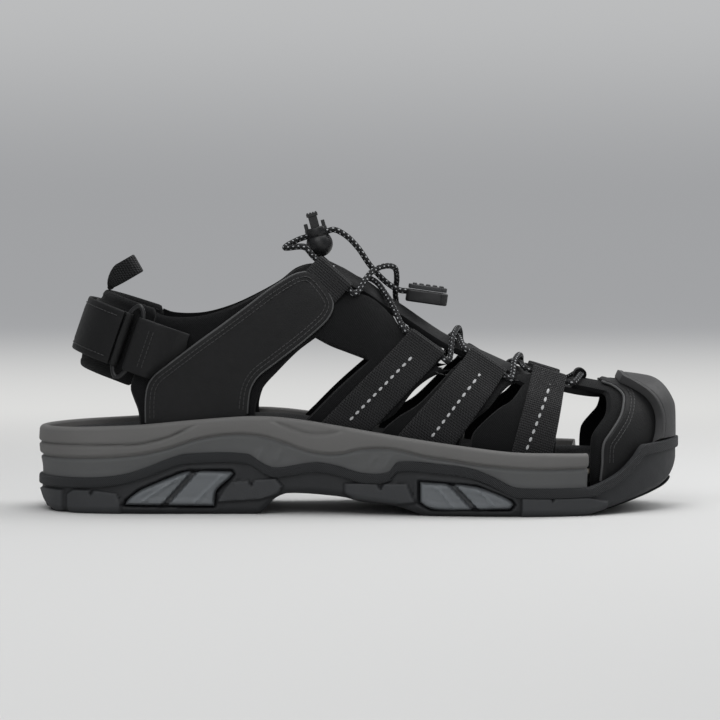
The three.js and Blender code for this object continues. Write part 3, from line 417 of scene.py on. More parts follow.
def tube(points, radius, sides=10, closed=False, flat=1.0, ends=True):
    """Round section along a line in a steady frame: vertices, faces and their lengthwise places."""
    p = np.asarray(points, float)
    count = len(p)
    if closed:
        t = np.roll(p, -1, 0) - np.roll(p, 1, 0)
    else:
        t = np.gradient(p, axis=0)
    t /= np.maximum(np.linalg.norm(t, axis=1), 1e-9)[:, None]
    side = np.cross(t[0], (0, 0, 1.0))
    if np.linalg.norm(side) < 1e-3:
        side = np.cross(t[0], (0, 1.0, 0))
    verts, places = [], []
    run = np.concatenate([[0], np.cumsum(np.linalg.norm(np.diff(p, axis=0), axis=1))])
    for i in range(count):
        side = side - t[i] * (side @ t[i])
        side /= np.linalg.norm(side)
        up = np.cross(side, t[i])
        for k in range(sides):
            a = 2 * math.pi * k / sides
            verts.append(p[i] + radius * (math.cos(a) * side + flat * math.sin(a) * up))
            places.append((k / sides, run[i]))
    faces = []
    for i in range(count if closed else count - 1):
        j = (i + 1) % count
        for k in range(sides):
            m = (k + 1) % sides
            faces.append((i * sides + k, i * sides + m, j * sides + m, j * sides + k))
    if not closed and ends:
        faces.append(tuple(range(sides))[::-1])
        faces.append(tuple((count - 1) * sides + k for k in range(sides)))
    return np.array(verts), faces, places


def thread_row(bin_, points, normals, pitch=2.4, length=1.7, radius=0.28, slot=0, sink=0.05):
    """Stitches along a line on a surface."""
    p = np.asarray(points, float)
    run = np.concatenate([[0], np.cumsum(np.linalg.norm(np.diff(p, axis=0), axis=1))])
    at = np.arange(pitch * 0.6, run[-1] - pitch * 0.4, pitch)
    for s in at:
        a, b = s - length / 2, s + length / 2
        pick = lambda v, w: np.array([np.interp(v, run, w[:, k]) for k in range(3)])
        n = pick(s, normals)
        n = n / np.linalg.norm(n)
        ends = [pick(a, p), pick(s, p), pick(b, p)]
        line = [ends[0] - n * radius * 0.9, ends[0] + n * radius * 0.25, ends[1] + n * (radius * 0.65 - sink),
                ends[2] + n * radius * 0.25, ends[2] - n * radius * 0.9]
        verts, faces, _ = tube(line, radius, sides=6)
        bin_.add(verts, faces, slot)


def domain_line(points, lift, hand, step=1.0):
    """A drawn side-view line laid on the last: its places and normals."""
    p = respaced(spline(points, per=8), step=step)
    share = share_at(p[:, 0], p[:, 1], lift, hand)
    return on_surface(p[:, 0], share, np.full(len(p), lift)), last_normal(p[:, 0], share)


# ---------------------------------------------------------------- materials
class Nodes:
    """Short calls for building one material's nodes."""

    def __init__(self, name, color, rough, **sockets):
        self.material = bpy.data.materials.new(name)
        self.material.use_nodes = True
        self.tree = self.material.node_tree
        self.shader = self.tree.nodes["Principled BSDF"]
        self.set("Base Color", (*color, 1))
        self.set("Roughness", rough)
        for key, value in sockets.items():
            self.set(key.replace("_", " "), value)
        self.height = None

    def set(self, socket, value):
        self.shader.inputs[socket].default_value = value

    def node(self, kind, **values):
        made = self.tree.nodes.new("ShaderNode" + kind)
        for key, value in values.items():
            if key in ("operation", "blend_type", "wave_type", "bands_direction", "feature", "wave_profile",
                       "data_type"):
                setattr(made, key, value)
            else:
                made.inputs[key.replace("_", " ")].default_value = value
        return made

    def link(self, source, target):
        self.tree.links.new(source, target)

    def place(self, kind="Object"):
        if not hasattr(self, "_" + kind):
            made = self.tree.nodes.new("ShaderNodeTexCoord")
            setattr(self, "_" + kind, made.outputs[kind])
        return getattr(self, "_" + kind)

    def math(self, operation, a, b=None):
        made = self.node("Math", operation=operation)
        for index, value in enumerate((a, b)):
            if value is None:
                continue
            if isinstance(value, (int, float)):
                made.inputs[index].default_value = value
            else:
                self.link(value, made.inputs[index])
        return made.outputs[0]

    def noise(self, size, detail=3.0, rough=0.55, kind="Object"):
        made = self.node("TexNoise", Scale=1000.0 / size, Detail=detail, Roughness=rough)
        self.link(self.place(kind), made.inputs["Vector"])
        return made.outputs["Fac"]

    def cells(self, size, kind="Object"):
        made = self.node("TexVoronoi", Scale=1000.0 / size)
        self.link(self.place(kind), made.inputs["Vector"])
        return made.outputs["Distance"]

    def axis(self, name, kind="Object"):
        made = self.node("SeparateXYZ")
        self.link(self.place(kind), made.inputs[0])
        return made.outputs[name]

    def ramp(self, value, low, high):
        made = self.node("MapRange", From_Min=low, From_Max=high, To_Min=0.0, To_Max=1.0)
        made.interpolation_type = "SMOOTHSTEP"
        self.link(value, made.inputs["Value"])
        return made.outputs[0]

    def mix(self, factor, a, b):
        made = self.node("Mix", data_type="RGBA")
        for index, value in ((6, a), (7, b)):
            if isinstance(value, tuple):
                made.inputs[index].default_value = (*value, 1)
            else:
                self.link(value, made.inputs[index])
        self.link(factor, made.inputs[0])
        return made.outputs[2]

    def color(self, value):
        self.link(value, self.shader.inputs["Base Color"])
        return self

    def rough(self, value, low, high):
        made = self.node("MapRange", To_Min=low, To_Max=high)
        self.link(value, made.inputs["Value"])
        self.link(made.outputs[0], self.shader.inputs["Roughness"])
        return self

    def bump(self, value, depth, strength=1.0):
        made = self.node("Bump", Distance=depth * MM, Strength=strength)
        self.link(value, made.inputs["Height"])
        if self.height is not None:
            self.link(self.height, made.inputs["Normal"])
        self.height = made.outputs[0]
        self.link(self.height, self.shader.inputs["Normal"])
        return self


def rubber(name, color, rough=0.62, grain=0.5, light=None):
    """Moulded rubber; with light set, UV x says how far a place turns from color to light, a painted
    highlight, or stays at color, painted shade.
    """
    m = Nodes(name, color, rough, Specular_IOR_Level=0.35)
    patch = m.noise(14, 4)
    base = m.mix(patch, tuple(c * 0.85 for c in color), tuple(min(1, c * 1.2) for c in color))
    if light is not None:
        # UV x paints light and shade: towards light is a painted highlight, towards color painted shade
        base = m.mix(m.axis("X", "UV"), base, light)
    m.color(base)
    m.rough(m.noise(5, 3), rough - 0.08, rough + 0.1)
    m.bump(m.noise(grain, 2), 0.06).bump(m.cells(grain * 1.4), 0.04)
    return m.material


def ribbed_rubber():
    m = Nodes("rubber_ribbed", (0.026, 0.028, 0.031), 0.7, Specular_IOR_Level=0.3)
    lines = m.math("ADD", m.axis("X"), m.axis("Z"))
    wave = m.math("SINE", m.math("MULTIPLY", lines, 2 * math.pi / (0.9 * MM)))
    across = m.math("SINE", m.math("MULTIPLY", m.math("SUBTRACT", m.axis("X"), m.axis("Z")),
                                   2 * math.pi / (0.9 * MM)))
    grid = m.math("MAXIMUM", wave, across)
    m.color(m.mix(m.ramp(grid, 0.2, 1.0), (0.015, 0.0158, 0.017), (0.045, 0.047, 0.05)))
    m.bump(grid, 0.22).bump(m.noise(0.5, 2), 0.05)
    return m.material


def foam(name, color):
    m = Nodes(name, color, 0.72, Specular_IOR_Level=0.3)
    m.color(m.mix(m.noise(30, 4), tuple(c * 0.93 for c in color), tuple(min(1, c * 1.06) for c in color)))
    m.bump(m.noise(0.7, 4, 0.7), 0.09).bump(m.noise(6, 2), 0.12)
    return m.material


def leather(name="leather_black", color=(0.0075, 0.0076, 0.008), rough=0.58):
    m = Nodes(name, color, rough, Specular_IOR_Level=0.22)
    grain = m.cells(0.75)
    m.color(m.mix(m.noise(18, 5), tuple(c * 0.75 for c in color), tuple(c * 1.35 for c in color)))
    m.rough(m.noise(3.0, 4), rough - 0.08, rough + 0.12)
    m.bump(grain, 0.07).bump(m.noise(2.2, 4), 0.08)
    return m.material


def knit(name="lining_knit", color=(0.006, 0.0062, 0.0066), pitch=0.9):
    m = Nodes(name, color, 0.92, Specular_IOR_Level=0.12, Sheen_Weight=0.06, Sheen_Roughness=0.5)
    k = 2 * math.pi / (pitch * MM)
    across = m.math("SINE", m.math("MULTIPLY", m.axis("X"), k))
    up = m.math("SINE", m.math("MULTIPLY", m.math("ADD", m.axis("Z"), m.axis("Y")), k))
    weave = m.math("MULTIPLY", across, up)
    m.color(m.mix(m.ramp(weave, -0.6, 0.9), tuple(c * 0.6 for c in color), tuple(c * 1.9 for c in color)))
    m.bump(weave, 0.12).bump(m.noise(1.2, 3), 0.1)
    return m.material


def webbing_cloth(name="webbing_black", color=(0.012, 0.0122, 0.013)):
    """Grosgrain: cross ribs from the lengthwise UV, in mm, with a finer thread along each."""
    m = Nodes(name, color, 0.78, Specular_IOR_Level=0.22, Sheen_Weight=0.08, Sheen_Roughness=0.45)
    u, v = m.axis("X", "UV"), m.axis("Y", "UV")
    rib = m.math("ABSOLUTE", m.math("SINE", m.math("MULTIPLY", v, math.pi / 1.15)))
    thread = m.math("SINE", m.math("MULTIPLY", u, 2 * math.pi / 0.62))
    slant = m.math("SINE", m.math("MULTIPLY", m.math("ADD", u, m.math("MULTIPLY", v, 0.5)),
                                  2 * math.pi / 1.24))
    m.color(m.mix(m.ramp(m.math("ADD", rib, m.math("MULTIPLY", slant, 0.25)), 0.1, 1.1),
                  (0.003, 0.003, 0.0032), tuple(c * 1.6 for c in color)))
    m.bump(rib, 0.3).bump(thread, 0.08).bump(slant, 0.1)
    return m.material


def cord_cloth():
    """Round braid with pale tracer flecks; UV x is the turn round the cord, y the length in mm."""
    m = Nodes("cord_braid", (0.012, 0.012, 0.013), 0.75, Specular_IOR_Level=0.25)
    u, v = m.axis("X", "UV"), m.axis("Y", "UV")
    left = m.math("SINE", m.math("MULTIPLY", m.math("ADD", m.math("MULTIPLY", u, 6.0),
                                                    m.math("DIVIDE", v, 1.6)), 2 * math.pi))
    right = m.math("SINE", m.math("MULTIPLY", m.math("SUBTRACT", m.math("MULTIPLY", u, 6.0),
                                                     m.math("DIVIDE", v, 1.6)), 2 * math.pi))
    braid = m.math("MAXIMUM", left, right)
    whole = None
    for turn, shift, size in ((0.0, 0.0, 1.0), (0.2, 0.5, 0.9), (0.4, 0.0, 1.0), (0.6, 0.5, 0.9),
                              (0.8, 0.25, 0.9)):
        round_ = m.math("ABSOLUTE", m.math("SUBTRACT", m.math("FRACT", m.math("ADD", u, 1.5 - turn)), 0.5))
        repeat = m.math("ADD", m.math("DIVIDE", v, 2.5), shift)
        along = m.math("ABSOLUTE", m.math("SUBTRACT", m.math("FRACT", repeat), 0.5))
        near = m.math("ADD", m.math("POWER", m.math("DIVIDE", round_, 0.05 * size), 2.0),
                      m.math("POWER", m.math("DIVIDE", along, 0.2 * size), 2.0))
        spot = m.math("SUBTRACT", 1.0, m.ramp(near, 0.6, 1.1))
        whole = spot if whole is None else m.math("MAXIMUM", whole, spot)
    base = m.mix(m.ramp(braid, -0.2, 0.9), (0.004, 0.004, 0.0045), (0.016, 0.0165, 0.018))
    m.color(m.mix(whole, base, (0.4, 0.41, 0.42)))
    m.bump(braid, 0.14)
    return m.material


def plastic(name="plastic_black", color=(0.008, 0.0082, 0.009), rough=0.4):
    m = Nodes(name, color, rough, Specular_IOR_Level=0.4)
    m.rough(m.noise(4, 4), rough - 0.06, rough + 0.12)
    m.color(m.mix(m.noise(10, 3), tuple(c * 0.8 for c in color), tuple(c * 1.4 for c in color)))
    m.bump(m.noise(0.35, 2), 0.02)
    return m.material


def pile(name, color, size):
    m = Nodes(name, color, 0.95, Specular_IOR_Level=0.2, Sheen_Weight=0.3)
    m.color(m.mix(m.noise(size, 3), tuple(c * 0.4 for c in color), tuple(c * 1.8 for c in color)))
    m.bump(m.noise(size, 4, 0.7), 0.3)
    return m.material


def bed_cloth():
    m = Nodes("footbed_cloth", (0.012, 0.0125, 0.014), 0.9, Specular_IOR_Level=0.15, Sheen_Weight=0.08)
    k = 2 * math.pi / (0.8 * MM)
    weave = m.math("MULTIPLY", m.math("SINE", m.math("MULTIPLY", m.axis("X"), k)),
                   m.math("SINE", m.math("MULTIPLY", m.axis("Y"), k)))
    m.color(m.mix(m.ramp(weave, -0.5, 0.8), (0.007, 0.0072, 0.008), (0.02, 0.0205, 0.022)))
    m.bump(weave, 0.1).bump(m.noise(3, 4), 0.15)
    return m.material


def plain(name, color, rough, size=2.0, **sockets):
    m = Nodes(name, color, rough, **sockets)
    m.color(m.mix(m.noise(size, 3), tuple(c * 0.85 for c in color), tuple(min(1, c * 1.12) for c in color)))
    m.bump(m.noise(size * 0.4, 2), 0.03)
    return m.material


# light is the painted highlight colour for the tread's painted light mask
RUBBER = rubber("rubber_black", (0.0095, 0.0102, 0.0115), light=(0.042, 0.044, 0.047))
RUBBER_TOE = rubber("rubber_toe", (0.034, 0.034, 0.035), rough=0.55)
RIBBED = ribbed_rubber()
# real grey insert rubber; the mix from color to light paints its shade and highlights
INSERT = rubber("rubber_grey", (0.02, 0.021, 0.023), rough=0.45, grain=0.8, light=(0.15, 0.162, 0.172))
FOAM_WARM = foam("foam_warm_grey", (0.135, 0.133, 0.13))
FOAM_COOL = foam("foam_cool_grey", (0.1, 0.102, 0.103))
LEATHER = leather()
EDGE = plain("leather_cut_edge", (0.055, 0.056, 0.057), 0.6)
KNIT = knit()
TONGUE_CLOTH = leather("tongue_smooth", (0.006, 0.0062, 0.0068), 0.62)
WEBBING = webbing_cloth()
CORD = cord_cloth()
PLASTIC = plastic()
# the same black plastic made lighter on top faces: a painted highlight from the light above
PLASTIC_PAINTED_TOP = plastic("plastic_painted_highlight", (0.022, 0.023, 0.025), 0.45)
LOOP_PILE = pile("loop_pile", (0.012, 0.012, 0.013), 0.6)
HOOK_PILE = pile("hook_pile", (0.016, 0.016, 0.018), 0.9)
BED = bed_cloth()
BOARD = plain("board_fibre", (0.2, 0.18, 0.15), 0.9, 1.2)
THREAD = plain("thread_dark", (0.022, 0.0222, 0.023), 0.55, 0.5)
DOT = plain("reflective_dot", (0.4, 0.405, 0.41), 0.35, 1.0)
STEEL = plain("spring_wire", (0.6, 0.6, 0.62), 0.3, 1.0, Metallic=1.0)


def dress(node, material):
    """A CAD node that stays in sight, with its own finish."""
    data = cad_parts[node].data
    data.materials.clear()
    data.materials.append(material)


# ---------------------------------------------------------------- sole
AROUND = 760
RING_PLAN = plan(0, AROUND)
_t = np.roll(RING_PLAN, -1, 0) - np.roll(RING_PLAN, 1, 0)
_t /= np.linalg.norm(_t, axis=1)[:, None]
RING_OUT = np.stack([_t[:, 1], -_t[:, 0]], 1)


def wall_grid(rows):
    """Rings of points from (offset outwards, height) pairs, each an array round the plan."""
    out = []
    for offset, height in rows:
        xy = RING_PLAN + RING_OUT * np.broadcast_to(offset, AROUND)[:, None]
        out.append(np.column_stack([xy, np.broadcast_to(height, AROUND)]))
    return out


def ring_faces(count):
    faces = []
    for r in range(count - 1):
        for i in range(AROUND):
            j = (i + 1) % AROUND
            faces.append((r * AROUND + i, r * AROUND + j, (r + 1) * AROUND + j, (r + 1) * AROUND + i))
    return faces


def groove(z, line, depth, width):
    return -depth * np.exp(-((z - line) / width) ** 2)


def smooth_band(t):
    t = np.clip(t, 0, 1)
    return t * t * (3 - 2 * t)


def sculpt(x, z, crease, rim):
    """How far the foam wall stands out: a rounded upper band, a hollow lower one and the grooves between."""
    up = np.clip((z - crease) / np.maximum(rim - crease, 1), 0, 1)
    down = np.clip((crease - z) / 9, 0, 1)
    out = 0.5 * np.sin(np.pi * np.clip(up, 0, 1)) - 0.9 * smooth_band(down * 1.3)
    out = out + 0.3 * (1 - smooth_band(down * 3))
    out = out + groove(z, crease - 0.4, 1.5, 0.75)
    heel = smooth_band((-70 - x) / 14)
    out = out + heel * groove(z, eased(HEEL_GROOVE, x), 1.3, 0.65)
    leaf_on = smooth_band((x + 44) / 5) * smooth_band((-4 - x) / 6)
    out = out + leaf_on * groove(z, eased(LEAF, x), 0.9, 0.8)
    for centre, slope, low, high in ((-47, 0.5, 24, 31), (-38, 0.45, 24, 30), (4, 0.55, 22, 28),
                                     (11, 0.5, 22, 28)):
        ridge = np.exp(-(((x - centre) - slope * (z - low)) / 1.3) ** 2)
        out = out + 0.8 * ridge * smooth_band((z - low + 2) / 3) * smooth_band((high - z) / 3)
    return out


def build_midsole():
    x = RING_PLAN[:, 0]
    rim, crease = eased(RIM, x), eased(CREASE, x)
    wave = eased(WAVE, x)
    front = smooth_band((x - 102.6) / 1.6)
    crease = np.minimum(crease, rim - 3)
    rows, slots = [], []
    low = wave - 1.5
    for k in range(14):
        z = low + (crease - 0.6 - low) * k / 13
        rows.append((sculpt(x, z, crease, rim), z))
        slots.append(1)
    edge = 2.2
    for k in range(1, 22):
        z = crease - 0.6 + (rim - edge - crease + 0.6) * k / 21
        rows.append((sculpt(x, z, crease, rim), z))
        slots.append(0)
    top = sculpt(x, rim - edge, crease, rim)
    for k in range(1, 8):
        a = math.pi / 2 * k / 7
        rows.append((top - edge * (1 - math.cos(a)), rim - edge + edge * math.sin(a) * 0.95))
        slots.append(0)
    for inset, drop in ((3.0, 0.15), (3.7, 0.5), (4.0, 1.4), (4.0, 9.9)):
        rows.append((-inset, rim - drop))
        slots.append(0)
    rows = [(np.asarray(o) - front * 14, np.where(front > 0.5, np.minimum(z, 24), z)) for o, z in rows]
    rings = wall_grid(rows)
    verts = np.vstack(rings)
    faces = ring_faces(len(rings))
    face_slots = [s for s in slots[1:] for _ in range(AROUND)]
    faces.append(tuple(range(AROUND))[::-1])
    faces.append(tuple((len(rings) - 1) * AROUND + i for i in range(AROUND)))
    face_slots += [0, 0]
    return make("midsole_foam", verts, faces, [FOAM_WARM, FOAM_COOL], slot="midsole_foam",
                replaces=["midsole"], face_slots=face_slots, smooth=55)


LUGS = [
    [(-147.5, 0.5), (-147.5, 9.5), (-144, 10.4), (-135.4, 10.2), (-135.4, 1), (-140, -1)],
    [(-133, -1), (-133, 8.5), (-130, 10.7), (-122.8, 10.7), (-121.8, 8), (-120.8, 10.7), (-110, 9.5),
     (-108.5, 6), (-108.5, -1)],
    [(-64.5, 5.7), (-61.3, 11.2), (-58.3, 14.8), (-50.5, 15.5), (-49.2, 12.5), (-47.8, 15.7), (-38, 16.3),
     (-35, 12.9), (-36.9, 9.2), (-46, 6.7)],
    [(-6.9, 14.4), (7.8, 14.5), (9.2, 11.4), (10.8, 14.5), (21.2, 14.6), (24.6, 6.1), (15.7, 5.1),
     (-3.2, 7.2), (-6.9, 10)],
    [(72.5, -1), (72.5, 8.6), (80, 9.4), (85, 9.4), (86.3, 6.6), (87.6, 9.4), (98, 9.4), (112, 6), (112, 1),
     (100, -1)],
]
HEEL_INSERT = [(-106.5, 4.1), (-105.6, 6.2), (-99.9, 10.7), (-91.7, 14.3), (-81.6, 18.4), (-77.5, 19.5),
               (-58.3, 19.5), (-57.3, 18.3), (-58.8, 16.3), (-62.3, 13.3), (-65.1, 10.2), (-65.9, 3.7)]
FORE_INSERT = [(26.7, 15.5), (52.3, 13.5), (67.8, 7.2), (68.9, 5.5), (67.2, 3.4), (31.3, 3.4), (26.7, 6.1)]


def signed_gap(points, polygon):
    """Distance to an outline, positive inside."""
    gap = edge_distance(points, [polygon])
    return np.where(inside(points, polygon), gap, -gap)


def tread_relief(x, z):
    """Side lugs stand proud and the grey inserts sit in shallow pockets."""
    points = np.column_stack([x, z])
    out = np.zeros(len(x))
    for lug in LUGS:
        out = np.maximum(out, 1.5 * smooth_band(signed_gap(points, np.array(lug)) / 0.9 + 0.5))
    for pocket in (HEEL_INSERT, FORE_INSERT):
        gap = signed_gap(points, np.array(pocket))
        out = out - 3.4 * smooth_band((gap + 0.9) / 0.8)
        rim = np.exp(-((gap + 1.9) / 0.7) ** 2)
        out = out + 0.5 * rim
    return out


def tread_painted_light(x, z):
    """Painted light for the side tread: 1 on the raised lugs and the pocket rims as a painted highlight, 0 in
    the hollows between as painted shade.
    """
    points = np.column_stack([x, z])
    painted_light = np.full(len(x), 0.3)
    for lug in LUGS:
        gap = signed_gap(points, np.array(lug))
        painted_light = np.where(gap > -1.6, 0.3 * smooth_band((-gap - 0.3) / 1.2), painted_light)
        painted_light = np.maximum(painted_light, 0.85 * smooth_band((gap + 0.1) / 0.5))
    for pocket in (HEEL_INSERT, FORE_INSERT):
        gap = signed_gap(points, np.array(pocket))
        painted_light = np.where(gap > -1.3, 0.0, painted_light)
    return painted_light


TREAD_DEPTH = 2.6
TREAD_FALL = 0.7
SLOT_HALF, GROOVE_HALF = 1.7, 1.4
GROOVE_LINES = (-14.0, 14.0)
TREAD_SLOTS = (-134.5, -121, -107.5, -94, -80.5, -67, -56, 41, 55.5, 70, 84, 97)


def tread_height(x, y):
    """The underside: flat lugs with zigzag slots between them and two grooves lengthwise."""
    base = np.maximum(eased(BOTTOM, x), 0)
    zigzag = 1.6 * np.abs(((y / 14) % 2) - 1) - 0.8
    cut = np.zeros(len(x))
    for slot in TREAD_SLOTS:
        cut = np.maximum(cut, smooth_band((SLOT_HALF - np.abs(x + zigzag * 2 - slot)) / TREAD_FALL))
    for line in GROOVE_LINES:
        centre = line + np.interp(x, [-140, -40, 40, 140], [0, 0, 3, 3])
        cut = np.maximum(cut, smooth_band((GROOVE_HALF - np.abs(y - centre)) / TREAD_FALL))
    worn = smooth_band((3.0 - base) / 3.0)
    return base + TREAD_DEPTH * cut * worn, cut * worn


def build_outsole():
    x = RING_PLAN[:, 0]
    wave, bottom = eased(WAVE, x), np.maximum(eased(BOTTOM, x), 0)
    toe = smooth_band((x - 104) / 6)
    rows, slots, painted_lights = [], [], []
    band = 4.6
    count = 34
    for k in range(count + 1):
        t = k / count
        z = bottom + (wave - band - bottom) * t
        round_ = 2.4 * (1 - np.clip((z - bottom) / 3.5, 0, 1)) ** 2
        rows.append((-0.6 + tread_relief(x, z) - round_ - 0.5 * toe, z))
        # painted light on the side wall: painted highlight on the lugs, painted shade round them, and lighter
        # towards the toe end
        painted_lights.append(np.maximum(tread_painted_light(x, z), 0.45 * toe))
        slots.append(0)
    proud = 0.9 - 0.7 * toe
    for step, lift in ((0.35, 0.12), (0.8, 0.35), (1, 0.7), (1, 2.0), (1, 3.3), (0.9, 4.1), (0.5, 4.6),
                       (-0.6, 4.75)):
        rows.append((proud * step if step > 0 else step, wave - band + lift))
        slots.append(1)
    rows.append((-3.2, wave + 0.1))
    slots.append(0)
    rows.append((-3.2, np.maximum(bottom + 4, wave - 12)))
    slots.append(0)
    rings = wall_grid(rows)
    verts = np.vstack(rings)
    faces = ring_faces(len(rings))
    face_slots = [s for s in slots[1:] for _ in range(AROUND)]
    faces.append(tuple((len(rings) - 1) * AROUND + i for i in range(AROUND)))
    face_slots.append(0)
    painted_lights = np.concatenate(painted_lights + [np.full(AROUND, 0.3)] * (len(rings) - len(painted_lights)))
    flat, tris, gap = mesh_inside(rings[0][::2, :2], step=2.4, rings=(1.2,))
    height, cut = tread_height(flat[:, 0], flat[:, 1])
    edge = gap < 1e-6
    ring_height = np.maximum(eased(BOTTOM, flat[:, 0]), 0)
    height = np.where(edge, ring_height, height)
    base = len(verts)
    verts = np.vstack([verts, np.column_stack([flat, height])])
    faces += [tuple(base + i for i in tri) for tri in tris]
    face_slots += [0] * len(tris)
    # underside: painted shade in the slots and grooves, lighter on the flat lugs
    painted_lights = np.concatenate([painted_lights, 0.75 - 0.7 * cut])
    return make("outsole_rubber", verts, faces, [RUBBER, RIBBED], slot="sole_rubber", replaces=["outsole"],
                face_slots=face_slots, smooth=50, uv=[(painted_light, 0) for painted_light in painted_lights])


def side_wall(points, offset, hand):
    """A side-view place laid on the sole's side wall."""
    p = np.asarray(points, float)
    keep = RING_PLAN[:, 1] * hand > 0
    order = np.argsort(RING_PLAN[keep][:, 0])
    xs = RING_PLAN[keep][order]
    out = RING_OUT[keep][order]
    base = np.column_stack([np.interp(p[:, 0], xs[:, 0], xs[:, 1])])[:, 0]
    nx = np.interp(p[:, 0], xs[:, 0], out[:, 0])
    ny = np.interp(p[:, 0], xs[:, 0], out[:, 1])
    return np.column_stack([p[:, 0] + nx * offset, base + ny * offset, p[:, 1]])


def build_inserts():
    """Two grey lugs a side, with raised bevels round a sunk channel."""
    for hand, word in SIDES:
        for name, outline, cut, ridges in (
                ("heel_insert", HEEL_INSERT, (-84.0, 0.9), ((-92, 1.5), (-70, 1.0))),
                ("forefoot_insert", FORE_INSERT, (46.0, -0.95), ((37, -0.9), (55, -1.0)))):
            loop = rounded_outline(outline, step=0.9, corner=50)
            verts, tris, gap = mesh_inside(loop, step=0.8, rings=(0.5, 1.2))
            x, z = verts[:, 0], verts[:, 1]
            across = x - cut[0] - cut[1] * (z - 9)
            channel = 1 - smooth_band((np.abs(across) - 1.1) / 1.0)
            lift = -1.6 + 1.9 * smooth_band(gap / 1.4) - 2.0 * channel
            # painted light over the real grey: painted shade at the insert's rim and in the channel, painted
            # highlight on the bevel ridges
            painted_light = 0.25 + 0.6 * smooth_band(gap / 1.2) - 0.75 * channel
            for centre, slope in ridges:
                offset = (x - centre) - slope * (z - 10)
                ridge = np.exp(-(offset / 0.9) ** 2) * smooth_band((gap - 0.8) / 1.2)
                lift = lift + 0.9 * ridge
                painted_light = painted_light + 0.5 * ridge
            lift = lift - 0.35 * smooth_band((gap - 2.6) / 1.0)
            painted_light = np.clip(painted_light, 0, 1.3)
            top = side_wall(verts, lift, hand)
            under = side_wall(verts, np.full(len(verts), -3.2), hand)
            body, faces = thick(under, top, tris)
            make(f"{name}_{word}_rubber", body, faces, [INSERT], slot="insert_rubber",
                 replaces=[f"{name}_{word}"], smooth=50,
                 uv=[(t, 0) for t in np.concatenate([painted_light, painted_light])])


def build_footbed():
    """Dished footbed with a rounded edge."""
    loop = plan(UPPER_INSET + 1.6, 220)
    loop = loop[loop[:, 0] < 139]
    verts, tris, gap = mesh_inside(loop, step=5.0, rings=(0.8, 2.4))
    x = verts[:, 0]
    low = floor_at(x) + 2.6
    dish = 1.2 * smooth_band(gap / 22) * smooth_band((-20 - x) / 40)
    arch = 1.2 * np.exp(-((x + 25) / 28) ** 2) * smooth_band((verts[:, 1] - 5) / 20)
    top = low + 5 * (0.55 + 0.45 * np.sqrt(1 - (1 - np.clip(gap / 2.4, 0, 1)) ** 2)) - dish + arch * 0.6
    body, faces = thick(np.column_stack([verts, low]), np.column_stack([verts, top]), tris)
    make("footbed_cushion", body, faces, [BED], slot="footbed_foam", replaces=["footbed"])


# ---------------------------------------------------------------- upper
QUARTER = [(-96.8, 31.6), (-96.3, 56.2), (-93.6, 61.8), (-87, 67.3), (-76, 75.6), (-55.8, 90.4),
           (-37.3, 104.2), (-30, 108.3), (-24.4, 108.8), (-18, 103.3), (-12.9, 95), (-14.3, 89.4),
           (-23.5, 80.2), (-37.3, 69.2), (-46.6, 61.8), (-49.8, 56.2), (-51.2, 44.7), (-52, 35.2)]
LINING_TOP = [(-99.5, 32), (-100.5, 46.1), (-102.8, 52.6), (-104.0, 57.3), (-98.1, 74.5), (-92.3, 91.2),
              (-88, 89.6), (-74.2, 89.4), (-60.4, 93.1), (-46.6, 99.6), (-37.3, 105.1), (-29, 111.5),
              (-20, 113), (-9, 102), (3, 98.6), (14.8, 88.7), (19, 82.5), (31, 71.5), (36, 66.5), (41, 66),
              (46, 70), (60, 64.5), (72, 63), (82, 62.4), (90, 58.6), (88.5, 45), (88, 19.5)]
WINDOWS = [
    [(-46, None), (-47.5, 45.2), (-46.6, 50.7), (-43.8, 57.2), (-37.3, 64.5), (-28.1, 73.8), (-20.3, 79.8),
     (-13.7, 76.3), (-5, 73), (4, 69.7), (-9.9, 57.2), (-20.3, 46.7), (-26, 40.5), (-27, None)],
    [(9, None), (9.5, 36.8), (16.8, 44), (26, 50), (36, 60), (41.5, 66.2), (33, 63), (25, 57), (15.9, 45.8),
     (5.4, 38), (4.5, None)],
    [(49.5, None), (50.5, 36.4), (55, 42), (63, 49), (68, 52), (73.6, 58.9), (70, 60.3), (64, 56),
     (57.8, 48.6), (51, 42.9), (46.5, 36.4), (45, None)],
]
TOE_LINING = [(95, 62), (96.8, 56.3), (107.5, 55), (111.8, 53.4), (112.5, 50.8), (111.5, 44.9), (108.5, 40.8),
              (105, 35.9), (104.2, 31.8), (104, 15)]
VAMP_BACK = [(107.2, 15), (108, 22.9), (108.2, 28.9), (109, 32.4), (112.5, 37.3), (117, 43.8), (118.8, 48.9),
             (119.3, 52.8), (117.5, 55.3), (114.5, 57.3), (110.5, 58.6)]
CAP_BACK = [(130.3, 31.6), (131.5, 35.4), (132, 42.9), (130.5, 49.2), (127.5, 53.8), (122.5, 57.6),
            (117.6, 60.0)]
TONGUE_PLAN = [(-15, -17), (-16.5, 0), (-15, 17), (20, 19), (60, 20), (112, 17), (112, -17), (60, -20),
               (20, -19)]
STRAPS = [
    ("ankle", (-21, 114.5), (-5.6, 101.3), (-33, 103), (-17.5, 90)),
    ("instep", (21.6, 81.4), (36.6, 70.8), (-14.8, 43.8), (5.4, 37.7)),
    ("middle", (49.2, 72.6), (64.6, 62.6), (20.6, 39.2), (43.3, 32.3)),
    ("toe", (77.6, 64.2), (92.5, 59.6), (68.2, 29.5), (85.9, 28.6)),
]
SHELL_IN, SHELL_OUT = 2.5, 4.1
EYE_LIFT = 3.3


def with_floor(points, rise):
    return [(x, float(floor_at(x)) + rise if z is None else z) for x, z in points]


